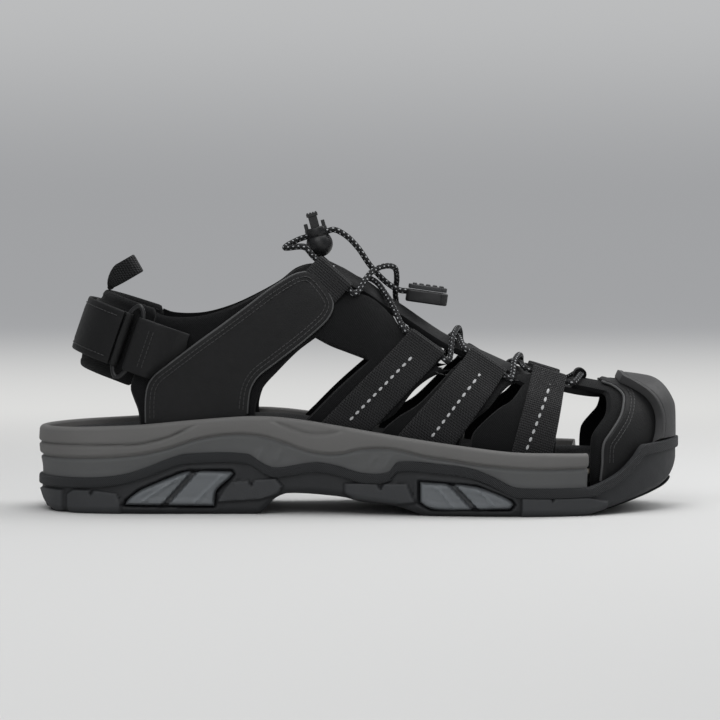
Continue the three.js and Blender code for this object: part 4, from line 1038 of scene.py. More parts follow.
def inset_runs(outline, inset, hand, lift, low=0.0, step=0.8):
    """Lines on the surface that follow an outline at a distance inside it, above the rim."""
    line = respaced(np.asarray(outline), step=step, closed=True)
    t = np.roll(line, -1, 0) - np.roll(line, 1, 0)
    t /= np.linalg.norm(t, axis=1)[:, None]
    area = np.sum(line[:, 0] * np.roll(line[:, 1], -1) - np.roll(line[:, 0], -1) * line[:, 1])
    inward = np.stack([-t[:, 1], t[:, 0]], 1) * np.sign(area)
    moved = line + inward * inset
    good = (edge_distance(moved, [line]) > inset * 0.94) & (moved[:, 1] > eased(RIM, moved[:, 0]) + low)
    if good.all():
        start = 0
    else:
        start = int(np.argmin(good))
    moved, good = np.roll(moved, -start, 0), np.roll(good, -start)
    runs, run = [], []
    for p, ok in zip(moved, good):
        if ok:
            run.append(p)
        elif run:
            runs.append(run)
            run = []
    if run:
        runs.append(run)
    out = []
    for run in runs:
        if len(run) < 5:
            continue
        p = np.array(run)
        share = share_at(p[:, 0], p[:, 1], lift, hand)
        out.append((on_surface(p[:, 0], share, np.full(len(p), lift)), last_normal(p[:, 0], share)))
    return out


def sew(name, outline, hand, lift, insets, pitch=2.1, radius=0.24, low=1.5, material=None):
    bin_ = Bin()
    for inset in insets:
        for points, normals in inset_runs(outline, inset, hand, lift, low):
            thread_row(bin_, points, normals, pitch=pitch, length=pitch * 0.68, radius=radius)
    if bin_.verts:
        bin_.make(name, [material or THREAD], slot="upper_leather")


def trim(bin_, outline, hand, lift, radius, low=0.3):
    for points, _ in inset_runs(outline, 0.1, hand, lift, low):
        verts, faces, _ = tube(respaced(points, step=1.0), radius, sides=8)
        bin_.add(verts, faces)


def build_sides():
    for hand, word in SIDES:
        quarter = rounded_outline(QUARTER, step=1.4, corner=50)
        panel(f"quarter_{word}_leather", to_domain(quarter, 3.3, hand), [], SHELL_IN, SHELL_OUT, [LEATHER],
              slot="upper_leather", replaces=[f"quarter_{word}"], step=2.6, round_over=0.7, edge_keep=0.6,
              shape=lambda x, s,
              gap: -0.28 * np.exp(-((gap - 2.85) / 0.9) ** 2) + 0.3 * smooth_band((gap - 5) / 9))
        sew(f"quarter_{word}_stitches", quarter, hand, 3.95, (2.0, 3.7))
        edge = Bin()
        trim(edge, quarter, hand, 3.2, 0.62)
        edge.make(f"quarter_{word}_edge", [EDGE], slot="upper_leather")
        floor_line = [(x, float(floor_at(x)) + 1) for x in np.linspace(84, -95, 16)]
        lining = rounded_outline(LINING_TOP[1:-1] + [(88, float(floor_at(88)) + 1)] + floor_line
                                 + [(-99.5, float(floor_at(-99.5)) + 1)], step=1.8, corner=60)
        holes = [rounded_outline(with_floor(w, 3), step=1.6, corner=60) for w in WINDOWS]
        domains = [to_domain(h, 2.0, hand) for h in holes]
        piece = panel(f"lining_{word}_padding", to_domain(lining, 2.0, hand), domains, 0.0, 2.25, [KNIT],
                      slot="lining_fabric", replaces=[f"lining_{word}"], step=3.0,
                      round_over=1.6, edge_keep=0.3,
                      shape=lambda x, s, gap: -0.45 * np.exp(-((gap - 3.0) / 0.7) ** 2))
        sew(f"lining_{word}_stitches", lining, hand, 1.75, (3.0,), pitch=2.4, radius=0.22)


# ---- toe pieces, wrapped round from one side to the other
def toe_shell(name, back, bottom, inner, outer, materials, columns=44, levels=44, shape=None, keep=0.5,
              round_over=0.8, **rest):
    """A shell round the toe: back is its rear edge from the side, bottom(x) its lower edge's height."""
    mid = (inner + outer) / 2
    line = respaced(spline(back, per=8), step=0.8)
    bs = share_at(line[:, 0], line[:, 1], mid, LATERAL)
    low_at_back = share_at(line[:, 0], bottom(line[:, 0]), mid, LATERAL)
    level = np.clip((bs - low_at_back) / (0.4 - low_at_back), 0, 1)
    level = np.maximum.accumulate(level)
    level[0], level[-1] = 0, 1
    h = np.linspace(0, 1, levels) ** 0.9
    back_x = np.interp(h, level, line[:, 0])
    t = np.linspace(0, 1, columns)
    reach = np.sin(t * math.pi / 2) ** 0.92
    verts, under = [], []
    for row in range(levels):
        x = back_x[row] + (LAST_TOE - back_x[row]) * reach
        low = share_at(x, bottom(x), mid, LATERAL)
        s = low + (0.4 - low) * h[row]
        x2, s2 = np.concatenate([x, x[::-1]]), np.concatenate([s, 0.8 - s[::-1]])
        n = last_normal(x2, s2)
        for tip in (columns - 1, columns):
            n[tip, 1] *= 0.4
            n[tip] /= np.linalg.norm(n[tip])
        base = last_point(x2, s2)
        run = np.concatenate([[0], np.cumsum(np.linalg.norm(np.diff(base + n * mid, axis=0), axis=1))])
        gap = np.minimum(run, run[-1] - run)
        gap = np.minimum(gap, np.abs(base[:, 2] + n[:, 2] * mid - bottom(x2)))
        fall = np.clip(gap / round_over, 0, 1)
        lift = inner + (outer - inner) * (keep + (1 - keep) * np.sqrt(1 - (1 - fall) ** 2))
        if shape is not None:
            lift = lift + shape(np.minimum(run, run[-1] - run), base[:, 2], gap, x2)
        verts.append(base + n * lift[:, None])
        under.append(base + n * inner)
    wide = 2 * columns
    top, low_skin = np.vstack(verts), np.vstack(under)
    weld = np.arange(levels * wide)
    last = (levels - 1) * wide
    for c in range(columns):
        weld[last + wide - 1 - c] = last + c
    tris = []
    for r in range(levels - 1):
        for c in range(wide - 1):
            a, b, d, e = (weld[r * wide + c], weld[r * wide + c + 1], weld[(r + 1) * wide + c + 1],
                          weld[(r + 1) * wide + c])
            for tri in ((a, b, d), (a, d, e)):
                if len(set(tri)) == 3:
                    tris.append(tri)
    tris = np.array(tris)
    used = np.unique(tris)
    remap = -np.ones(levels * wide, int)
    remap[used] = np.arange(len(used))
    body, faces = thick(low_skin[used], top[used], remap[tris])
    return make(name, body, faces, materials, **rest)


def build_toe():
    flat = lambda x: np.full(np.shape(x), 13.0)
    toe_lining = toe_shell("toe_lining_knit", TOE_LINING[::-1][:-1] + [(97.5, 59.8)], flat, 0.0, 2.0, [KNIT],
                           slot="lining_fabric", replaces=["toe_lining"], round_over=1.4, keep=0.35)
    toe_shell("vamp_leather", VAMP_BACK, flat, SHELL_IN, SHELL_OUT, [LEATHER], slot="upper_leather",
              replaces=["vamp_panel"], columns=60, levels=56,
              shape=lambda run, z, gap, x: -0.22 * np.exp(-((run - 3.7) / 0.8) ** 2))
    low = lambda x: np.interp(x, [128, 133, 151], [31.5, 31.6, 33.5])
    toe_shell("toe_cap_rubber", CAP_BACK, low, 4.4, 7.7, [RUBBER_TOE], slot="sole_rubber",
              replaces=["toe_cap"], columns=56, levels=52, keep=0.3, round_over=1.0,
              shape=lambda run, z, gap, x: 0.35 * smooth_band((3.4 - run) / 0.5) * smooth_band(run / 0.5)
              - 0.35 * np.exp(-((run - 3.6) / 0.35) ** 2))
    for hand, word in SIDES:
        line = VAMP_BACK[1:]
        stitches, pale = Bin(), Bin()
        for inset in (2.9, 4.4):
            p = respaced(spline(line, per=8), step=0.8)
            t = np.gradient(p, axis=0)
            t /= np.linalg.norm(t, axis=1)[:, None]
            p = p + np.stack([t[:, 1], -t[:, 0]], 1) * inset
            p = p[(edge_distance(p, [respaced(spline(line, per=8),
                                              step=0.8)]) > inset * 0.94) & (p[:, 1] < 56)]
            share = share_at(p[:, 0], p[:, 1], 3.9, hand)
            thread_row(stitches, on_surface(p[:, 0], share, np.full(len(p), 3.95)),
                       last_normal(p[:, 0], share), pitch=2.1, length=1.45, radius=0.24)
        stitches.make(f"vamp_{word}_stitches", [THREAD], slot="upper_leather")
        points, _ = domain_line(VAMP_BACK, 3.2, hand, step=1.0)
        verts, faces, _ = tube(points, 0.6, sides=8)
        pale.add(verts, faces)
        pale.make(f"vamp_{word}_edge", [EDGE], slot="upper_leather")


def build_tongue():
    half = [(x, 0.4 * GIRTH + y * 1.12) for x, y in TONGUE_PLAN]
    loop = respaced(spline(half, closed=True, per=10), step=2.0, closed=True)
    piece = panel("tongue_pad", loop, [], -3.4, -0.5, [TONGUE_CLOTH], slot="lining_fabric",
                  replaces=["tongue"], step=3.2, round_over=2.2, edge_keep=0.3,
                  shape=lambda x, s,
                  gap: -0.5 * np.exp(-((gap - 4.2) / 0.7) ** 2) + 1.4 * smooth_band((2 - x) / 12)
                  * smooth_band((0.13 - np.abs(s - 0.4)) / 0.05))


# ---- straps with cord tunnels
def strap_grid(centres, normals, half):
    """Closes a band: centres is rows x columns of points, half the half thickness at each column."""
    rows, cols = centres.shape[:2]
    top = centres + normals * half[None, :, None]
    low = centres - normals * half[None, :, None]
    verts = np.vstack([top.reshape(-1, 3), low.reshape(-1, 3)])
    size = rows * cols
    faces = []
    for r in range(rows - 1):
        for c in range(cols - 1):
            a = r * cols + c
            faces.append((a, a + 1, a + cols + 1, a + cols))
            faces.append((size + a, size + a + cols, size + a + cols + 1, size + a + 1))
    for r in range(rows - 1):
        for c, flip in ((0, 1), (cols - 1, 0)):
            a, b = r * cols + c, (r + 1) * cols + c
            faces.append((a, b, size + b, size + a) if flip else (b, a, size + a, size + b))
    for c in range(cols - 1):
        faces.append((c, size + c, size + c + 1, c + 1))
        a = (rows - 1) * cols + c
        faces.append((a, a + 1, size + a + 1, size + a))
    return verts, faces


COLUMNS = np.array([0, 0.012, 0.04, 0.09, 0.18, 0.3, 0.42, 0.5, 0.58, 0.7, 0.82, 0.91, 0.96, 0.988, 1.0])
EDGE_THIN = 0.25 + 0.75 * np.clip(1 - np.abs(2 * COLUMNS - 1) ** 14, 0, 1) ** 0.5


def build_strap(name, rear, front, low_rear, low_front, hand, word):
    """Webbing from the sole up to a fold round the cord."""
    width = 19.5
    columns = []
    for u in COLUMNS:
        eye = np.array([rear[0] + (front[0] - rear[0]) * u, rear[1] + (front[1] - rear[1]) * u])
        foot = np.array([low_rear[0] + (low_front[0] - low_rear[0]) * u,
                         low_rear[1] + (low_front[1] - low_rear[1]) * u])
        down = (foot - eye) / np.linalg.norm(foot - eye)
        total = np.linalg.norm(foot - eye)
        extra = 6.0 if name != "ankle" else 0.0
        w = np.concatenate([np.linspace(total + extra, 7.5, 34)])
        p = eye + w[:, None] * down
        share = share_at(p[:, 0], p[:, 1], EYE_LIFT, hand)
        lift = np.full(len(w), EYE_LIFT)
        if name == "ankle":
            lift = 3.2 - 1.5 * smooth_band((w - 7.5) / 4)
        body = on_surface(p[:, 0], share, lift)
        s0 = share_at(np.array([eye[0]]), np.array([eye[1]]), EYE_LIFT, hand)
        centre = on_surface(np.array([eye[0]]), s0, np.array([EYE_LIFT]))[0]
        n = last_normal(np.array([eye[0]]), s0)[0]
        way = body[-1] - centre
        way = way - n * (way @ n)
        way /= np.linalg.norm(way)
        loop = [centre + way * 5.2 + n * 0.5, centre + way * 3.4 + n * 1.25]
        for a in np.linspace(math.radians(58), math.radians(265), 17):
            loop.append(centre + 2.35 * (way * math.cos(a) + n * math.sin(a)))
        loop += [centre + way * 2.2 - n * 2.0, centre + way * 5.0 - n * 1.6]
        columns.append(np.vstack([body, loop]))
    centres = np.stack(columns, axis=1)
    t = np.gradient(centres, axis=0)
    c = np.gradient(centres, COLUMNS, axis=1)
    n = np.cross(c, t)
    n /= np.linalg.norm(n, axis=2)[..., None]
    outward = last_normal(np.array([rear[0]]),
                          share_at(np.array([rear[0]]), np.array([rear[1]]), 3.3, hand))[0]
    if (n[30, 7] @ outward) < 0:
        n = -n
    verts, faces = strap_grid(centres, n, 0.58 * EDGE_THIN)
    run = np.zeros(centres.shape[:2])
    run[1:] = np.cumsum(np.linalg.norm(np.diff(centres, axis=0), axis=2), axis=0)
    run = run - run[33][None, :]
    uv = [(COLUMNS[k % len(COLUMNS)] * width, run[k // len(COLUMNS), k % len(COLUMNS)])
          for k in range(centres.shape[0] * len(COLUMNS))]
    make(f"{name}_strap_{word}_webbing", verts, faces, [WEBBING], slot="webbing",
         replaces=[f"{name}_strap_{word}"], uv=uv + uv, smooth=60)


DOT_LINES = [[(-5.1, 41.5), (32, 79.6)], [(32, 34.3), (59.7, 70.5)], [(74, 28.6), (87.8, 63.8)],
             [(-12.4, 112.2), (-18.6, 105.4)]]


def build_dots():
    turn = np.linspace(0, 2 * math.pi, 13)[:-1]
    for hand, word in SIDES:
        flat, lifts = [], []
        for start, stop in DOT_LINES:
            start, stop = np.array(start), np.array(stop)
            length = np.linalg.norm(stop - start)
            way = (stop - start) / length
            over = np.array([way[1], -way[0]])
            for d in np.arange(2.5, length - (1.0 if start[1] > 100 else 5.2), 3.7):
                p = start + way * d
                if p[1] < eased(RIM, p[0]) + 1.4:
                    continue
                lift = 4.4 if start[1] > 100 else 3.93
                for size, rise in ((1.0, 0.0), (0.82, 0.2)):
                    flat.append(p + np.outer(np.cos(turn) * 1.1 * size,
                                             way) + np.outer(np.sin(turn) * 0.62 * size, over))
                    lifts.append(np.full(12, lift + rise))
        flat, lifts = np.vstack(flat), np.concatenate(lifts)
        share = share_at(flat[:, 0], flat[:, 1], EYE_LIFT, hand)
        rings = on_surface(flat[:, 0], share, lifts).reshape(-1, 24, 3)
        bin_ = Bin()
        for ring in rings:
            faces = [(k, (k + 1) % 12, 12 + (k + 1) % 12, 12 + k) for k in range(12)]
            faces += [tuple(range(12))[::-1], tuple(range(12, 24))]
            bin_.add(ring, faces)
        bin_.make(f"strap_dots_{word}", [DOT], slot="webbing")


# ---- laces
def unit(v):
    v = np.asarray(v, float)
    return v / np.linalg.norm(v)


def eye_point(place, hand):
    share = share_at(np.array([place[0]]), np.array([place[1]]), EYE_LIFT, hand)
    return place[0], float(share[0]), on_surface(np.array([place[0]]), share, np.array([EYE_LIFT]))[0]


EYES = [{hand: (eye_point(rear, hand), eye_point(front, hand)) for hand in (-1, 1)} for _, rear, front, _,
        _ in STRAPS]
LOCK_TURN, TAB_TURN = math.radians(-15), math.radians(8)
LOCK, TAB = np.array([-19.8, 0, 126.2]), np.array([31, 0, 98.6])
LOCK_WAY = np.array([math.cos(LOCK_TURN), 0, -math.sin(LOCK_TURN)])
TAB_WAY = np.array([math.cos(TAB_TURN), 0, -math.sin(TAB_TURN)])
CORD_APART = 1.75


def lace_line(first):
    y = np.array([0, first * CORD_APART, 0])
    a, b = EYES[0][first][0][2], EYES[0][first][1][2]
    back = unit(a - b)
    points = [TAB - 4 * TAB_WAY + y, TAB - 7 * TAB_WAY + y, TAB - 10 * TAB_WAY + y, TAB - 13 * TAB_WAY + y,
              np.array([12.6, 0, 103.6]) + y, np.array([5, 0, 111.4]) + y, np.array([-1, 0, 120]) + y,
              np.array([-6.6, 0, 125.6]) + y, LOCK + 8 * LOCK_WAY + y, LOCK + 4 * LOCK_WAY + y, LOCK + y,
              LOCK - 7 * LOCK_WAY + y, LOCK - 10 * LOCK_WAY + y + np.array([0, first * 0.8, -0.4]),
              np.array([-34.5, first * 7.5, 120]), a + back * 8 + np.array([0, first * 0.5, 0.5]),
              a + back * 3]
    hand = first
    for k in range(4):
        (_, _, a), (bx, bs, b) = EYES[k][hand]
        points += [a, (a + b) / 2, b, b + unit(b - a) * 3.4]
        if k == 3:
            break
        over = hand < 0
        (nx, ns, na), (_, _, nb) = EYES[k + 1][-hand]
        lift, extra = (4.6, 5.2 if k == 0 else 0) if over else (1.3, 0)
        for t in (0.26, 0.38, 0.5, 0.62, 0.74):
            arch = math.sin(math.pi * (t - 0.08) / 0.84)
            height = EYE_LIFT + (lift - EYE_LIFT) * min(1, arch * 1.15)
            p = on_surface(np.array([bx + 2 + (nx - bx - 4) * t]), np.array([bs + (ns - bs) * t]),
                           np.array([height]))[0]
            points.append(p + np.array([extra, 0, extra]) * max(0, arch) ** 3)
        points.append(na - unit(nb - na) * 2.4)
        hand = -hand
    anchor = on_surface(np.array([101.0]), np.array([0.4]), np.array([EYE_LIFT]))[0]
    points += [anchor + (-0.6, hand * 11.9, 0.1), anchor + (0, hand * 8.5, 0), anchor + (0, hand * 1.0, 0)]
    return respaced(spline(points, per=10), step=0.8)


def build_laces():
    for hand, word in SIDES:
        line = lace_line(hand)
        verts, faces, places = tube(line, 1.32, sides=14)
        make(f"lace_{word}_cord", verts, faces, [CORD], slot="lace_cord", replaces=[f"lace_{word}"],
             uv=places, smooth=70)
    anchor = on_surface(np.array([101.0]), np.array([0.4]), np.array([EYE_LIFT]))[0]
    verts, faces, places = tube([anchor + (0, y, 0) for y in np.linspace(-5, 5, 9)], 2.9, sides=20)
    make("lace_anchor_loop", verts, faces, [WEBBING], slot="webbing", replaces=["lace_anchor"],
         uv=[(u * 18, v) for u, v in places], smooth=60)


# ---------------------------------------------------------------- heel strap, ring, collar and pull loop
HEEL_TILT = math.radians(19)
HEEL_AT = np.array([-94.4, 0, 74.0])
HEEL_R, HEEL_TURN, HEEL_FLAT, HEEL_BACK = 26.9, math.radians(64), 14.0, 31.8
RING_MIDDLE = HEEL_R * HEEL_TURN + HEEL_FLAT / 2
LIMB = 4.3
FOLD_AT = RING_MIDDLE - LIMB + 0.3
LEG_START = HEEL_R * math.pi / 2 + HEEL_FLAT


def heel_path(s):
    hand = 1 if s >= 0 else -1
    rest, heading, x, y = abs(s), 0.0, -HEEL_BACK, 0.0
    for turn, length in ((1, HEEL_R * HEEL_TURN), (0, HEEL_FLAT), (1, HEEL_R * (math.pi / 2 - HEEL_TURN)),
                         (0, 200)):
        step = min(rest, length)
        angle = step / HEEL_R if turn else 0
        if turn:
            x += HEEL_R * (math.cos(heading) - math.cos(heading + angle))
            y += HEEL_R * (math.sin(heading + angle) - math.sin(heading))
        else:
            x += step * math.sin(heading)
            y += step * math.cos(heading)
        heading += angle
        rest -= step
        if rest <= 0:
            break
    return np.array([x, -hand * y]), np.array([-math.cos(heading), -hand * math.sin(heading)]), \
        np.array([math.sin(heading), -hand * math.cos(heading)])


LEG_X = heel_path(LEG_START)[0][0]


def at_leg(x):
    return LEG_START + x - LEG_X


def turned(points, angle, origin):
    """Local points turned about +Y and moved to their place."""
    p = np.asarray(points, float)
    c, s = math.cos(angle), math.sin(angle)
    return np.stack([p[..., 0] * c + p[..., 2] * s, p[..., 1], -p[..., 0] * s + p[..., 2] * c], -1) + origin


def heel(s, d, z):
    p, n, _ = heel_path(s)
    return turned(np.array([p[0] + n[0] * d, p[1] + n[1] * d, z]), HEEL_TILT, HEEL_AT)


def settled(centres):
    """Draws a band in under the quarter where it reaches past the quarter's edge."""
    flat = centres.reshape(-1, 3)
    gap = signed_gap(flat[:, [0, 2]], np.array(QUARTER))
    pull = smooth_band((gap + 3.5) / 3.2)
    lift = 1.4 + 0.5 * (np.arange(len(flat)) >= len(flat) // 2)
    share = share_at(flat[:, 0], flat[:, 2], 1.6, LATERAL)
    low = on_surface(flat[:, 0], share, lift)
    flat = flat.copy()
    flat[:, 1] += (low[:, 1] - flat[:, 1]) * pull
    return flat.reshape(centres.shape)


def heel_band(name, path, low, high, sheet, materials, dent=3.0, settle=False, **rest):
    """A strap swept along (s, d) places in the heel frame, with rounded edges and a sewn-down border."""
    s_d = np.asarray(path, float)
    across = np.array([0, 0.01, 0.03, 0.07, 0.11, 0.14, 0.2, 0.3, 0.4, 0.5, 0.6, 0.7, 0.8, 0.86, 0.89, 0.93,
                       0.97, 0.99, 1])
    zs = low + (high - low) * across
    thin = 0.3 + 0.7 * np.clip(1 - np.abs(2 * across - 1) ** 18, 0, 1) ** 0.5
    edge = np.minimum(zs - low, high - zs)
    from_dent = edge - dent
    puff = 0.22 * smooth_band(from_dent / 1.2) - 0.2 * np.exp(-(from_dent / 0.5) ** 2) if dent else edge * 0
    centres = np.array([[heel(s, d, z) for z in zs] for s, d in s_d])
    if settle:
        centres = settled(centres)
    t = np.gradient(centres, axis=0)
    c = np.gradient(centres, zs, axis=1)
    n = np.cross(t, c)
    n /= np.linalg.norm(n, axis=2)[..., None]
    out = turned(np.array([*heel_path(s_d[0][0])[1], 0]), HEEL_TILT, np.zeros(3))
    if n[0, 5] @ out < 0:
        n = -n
    centres = centres + n * (puff * 0.5)[None, :, None]
    verts, faces = strap_grid(centres, n, sheet / 2 * thin + puff * 0.5)
    run = np.concatenate([[0], np.cumsum(np.linalg.norm(np.diff(centres[:, 9], axis=0), axis=1))])
    uv = [(zs[k % len(zs)], run[k // len(zs)]) for k in range(len(s_d) * len(zs))]
    return make(name, verts, faces, materials, uv=uv + uv, smooth=60, **rest)


def heel_stitches(name, rows, d, body="root", pitch=2.2):
    bin_ = Bin()
    for s0, s1, z0, z1 in rows:
        count = max(3, int(math.hypot(s1 - s0, z1 - z0)))
        places = [(s0 + (s1 - s0) * k / count, z0 + (z1 - z0) * k / count) for k in range(count + 1)]
        points = np.array([heel(s, d, z) for s, z in places])
        normals = np.array([heel(s, d + 1, z) for s, z in places]) - points
        thread_row(bin_, points, normals, pitch=pitch, length=pitch * 0.68, radius=0.24)
    bin_.make(name, [THREAD], body=body, slot="upper_leather")


def fold(s, opens, mid, radius, count=11):
    """Places round a fold: from the inner layer to the outer one."""
    return [(s + opens * radius * math.cos(a), mid + radius * math.sin(a))
            for a in np.linspace(-math.pi / 2, math.pi / 2, count)]


def build_heel():
    sheet, flap_out = 1.4, 4.9
    inner_d, outer_d = 0.7, flap_out - 0.7
    mid, bend = (inner_d + outer_d) / 2, (outer_d - inner_d) / 2
    line = [(s, inner_d) for s in np.linspace(-at_leg(10), FOLD_AT, 80)]
    heel_band("heel_strap_inner", line + fold(FOLD_AT, 1, mid, bend)[1:], -12.5, 12.5, sheet, [LEATHER],
              slot="upper_leather", replaces=["heel_strap"])
    heel_band("heel_strap_outer", [(s, outer_d) for s in np.linspace(-32, FOLD_AT - 1.3, 60)], -12.5, 12.5,
              sheet, [LEATHER], body="heel_flap", slot="upper_leather", replaces=["heel_strap_flap"])
    heel_stitches("heel_strap_stitches",
                  [(-30.5, FOLD_AT - 2.4, 9.6, 9.6), (-30.5, FOLD_AT - 2.4, -9.6, -9.6),
                                          (-30, -30, -9, 9)], flap_out + 0.02, body="heel_flap")
    heel_stitches("heel_strap_medial_stitches", [(-60, -33.5, 9.6, 9.6), (-60, -33.5, -9.6, -9.6)],
                  sheet + 0.02)
    start = RING_MIDDLE + LIMB - 0.3
    stop = at_leg(14)
    tail = [(s, outer_d - 3.2 * smooth_band((s - 48) / 11)) for s in np.linspace(start, stop, 30)][1:]
    under = [(s, inner_d - 1.2 * smooth_band((s - 48) / 11)) for s in np.linspace(stop, start, 30)]
    heel_band("ring_tab_leather", under + [(s, d) for s, d in fold(start, -1, mid, bend)][1:] + tail, -12.5,
              12.5, sheet, [LEATHER], settle=True, slot="upper_leather", replaces=["ring_tab"])
    heel_stitches("ring_tab_stitches", [(46.5, 46.5, -9.4, 9.4), (48.3, 48.3, -9.4, 9.4)], flap_out - 0.02)
    ring = []
    p, n, t = heel_path(RING_MIDDLE)
    for a in np.linspace(0, 2 * math.pi, 73)[:-1]:
        along, up = math.cos(a) * (6.5 - 1.1), math.sin(a) * (18 - 1.1)
        local = np.array([p[0] + t[0] * along + n[0] * 2.45, p[1] + t[1] * along + n[1] * 2.45, up])
        ring.append(turned(local, HEEL_TILT, HEEL_AT))
    verts, faces, _ = tube(ring, 1.1, sides=16, closed=True, flat=1.0)
    middle = turned(np.array([p[0] + n[0] * 2.45, p[1] + n[1] * 2.45, 0]), HEEL_TILT, HEEL_AT)
    axis = turned(np.array([n[0], n[1], 0]), HEEL_TILT, np.zeros(3))
    verts = verts - np.outer(((verts - middle) @ axis) * 0.3, axis)
    make("ring_plastic", verts, faces, [PLASTIC], slot="black_plastic", replaces=["ring"], smooth=80)


def build_collar():
    """A padded roll inside the heel strap, with a seam along its top and bottom."""
    span = 44.0
    rows = 72
    section = []
    for a in np.linspace(0, 2 * math.pi, 49)[:-1]:
        c, s = math.cos(a), math.sin(a)
        d = -3.05 + 2.75 * np.sign(c) * abs(c) ** 0.62
        z = -0.5 + 18.5 * np.sign(s) * abs(s) ** 0.42
        puff = 0.0 if c > 0 else -0.55 * math.cos(z / 18.5 * math.pi * 1.5) ** 2
        crease = 0.5 * math.exp(-((z - 14.2) / 0.8) ** 2) + 0.5 * math.exp(-((z + 15) / 0.8) ** 2)
        section.append((d + puff + (crease if c < 0 else -crease), z))
    verts = []
    for k in range(rows + 1):
        s = -span + 2 * span * k / rows
        close = 1 - 0.45 * smooth_band((abs(s) - span + 3.5) / 3.5) ** 2
        for d, z in section:
            verts.append(heel(s, -3.05 + (d + 3.05) * close, -0.5 + (z + 0.5) * (0.6 + 0.4 * close)))
    count = len(section)
    faces = []
    for r in range(rows):
        for c in range(count):
            m = (c + 1) % count
            faces.append((r * count + c, r * count + m, (r + 1) * count + m, (r + 1) * count + c))
    faces.append(tuple(range(count))[::-1])
    faces.append(tuple(rows * count + c for c in range(count)))
    piece = make("heel_collar_pad", verts, faces, [KNIT], slot="lining_fabric", replaces=["heel_collar"],
                 smooth=70)
    bin_ = Bin()
    for z in (15.6,):
        places = np.linspace(-span + 3, span - 3, 90)
        points = np.array([heel(s, -5.3, z) for s in places])
        normals = points - np.array([heel(s, -4.3, z) for s in places])
        thread_row(bin_, points, normals, pitch=2.4, length=1.6, radius=0.24)
    bin_.make("heel_collar_stitches", [THREAD], slot="lining_fabric")


def build_pull_loop():
    """A webbing loop on a bar, leaning forward off the back of the collar."""
    origin = turned(np.array([-HEEL_BACK + 3.2, 0, 18 + 0.3 + 1.2]), HEEL_TILT, HEEL_AT)
    lean = HEEL_TILT + math.radians(41)
    half, long, sheet, wide = 5.0, 17.0, 1.5, 9.0
    r = half - sheet / 2
    path = [(-r, z) for z in np.linspace(-0.4, long - half, 12)]
    path += [(-r * math.cos(a), long - half + r * math.sin(a)) for a in np.linspace(0, math.pi, 21)[1:-1]]
    path += [(r, z) for z in np.linspace(long - half, -0.4, 12)]
    xs = 1.2 - wide * COLUMNS
    centres = np.array([[turned(np.array([x, y, z]), lean, origin) for x in xs] for y, z in path])
    for row, (y, z) in enumerate(path):
        near = 1 - float(smooth_band((z + 0.4) / 8.0))
        foot = np.array([turned(np.array([1.1 - 2.2 * u, y, 0.0]), HEEL_TILT, origin) for u in COLUMNS])
        centres[row] = centres[row] * (1 - near) + foot * near
    t = np.gradient(centres, axis=0)
    c = np.gradient(centres, xs, axis=1)
    n = np.cross(t, c)
    n /= np.linalg.norm(n, axis=2)[..., None]
    verts, faces = strap_grid(centres, n, (sheet / 2 - 0.05) * EDGE_THIN)
    run = np.concatenate([[0], np.cumsum(np.linalg.norm(np.diff(centres[:, 7], axis=0), axis=1))])
    uv = [(COLUMNS[k % len(COLUMNS)] * wide, run[k // len(COLUMNS)]) for k in range(len(path) * len(COLUMNS))]
    piece = make("pull_loop_webbing", verts, faces, [WEBBING], body="pull_loop", slot="webbing",
                 replaces=["pull_loop"], uv=uv + uv, smooth=60)
    verts, faces, places = tube([turned(np.array([0, y, 0]), lean, origin) for y in np.linspace(-5, 5, 7)],
                                1.2, sides=16)
    make("pull_loop_foot", verts, faces, [WEBBING], body="pull_loop", slot="webbing",
         uv=[(u * 7, v) for u, v in places])
    return piece


# ---------------------------------------------------------------- cord lock and end tab
def block(x0, x1, y0, y1, z0, z1):
    verts = [(x, y, z) for x in (x0, x1) for y in (y0, y1) for z in (z0, z1)]
    faces = [(0, 1, 3, 2), (4, 6, 7, 5), (0, 4, 5, 1), (2, 3, 7, 6), (0, 2, 6, 4), (1, 5, 7, 3)]
    return np.array(verts, float), faces


def lathe(profile, sides=40):
    """A turned shape from (radius, z) pairs, closed at both ends."""
    verts, faces = [], []
    for radius, z in profile:
        for k in range(sides):
            a = 2 * math.pi * k / sides
            verts.append((radius * math.cos(a), radius * math.sin(a), z))
    for r in range(len(profile) - 1):
        for k in range(sides):
            m = (k + 1) % sides
            faces.append((r * sides + k, r * sides + m, (r + 1) * sides + m, (r + 1) * sides + k))
    faces.append(tuple(range(sides))[::-1])
    faces.append(tuple((len(profile) - 1) * sides + k for k in range(sides)))
    return np.array(verts), faces


def prism(outline, z0, z1):
    count = len(outline)
    verts = [(x, y, z0) for x, y in outline] + [(x, y, z1) for x, y in outline]
    faces = [tuple(range(count))[::-1], tuple(range(count, 2 * count))]
    faces += [(k, (k + 1) % count, count + (k + 1) % count, count + k) for k in range(count)]
    return np.array(verts, float), faces


def small_part(name, shapes, angle, origin, materials, body, slot, replaces, width=0.35):
    bin_ = Bin()
    for (verts, faces), index in shapes:
        bin_.add(turned(verts, angle, origin), faces, index)
    piece = bin_.make(name, materials, body=body, slot=slot, replaces=replaces, smooth=50)
    return bevelled(piece, width, segments=3, angle=40)


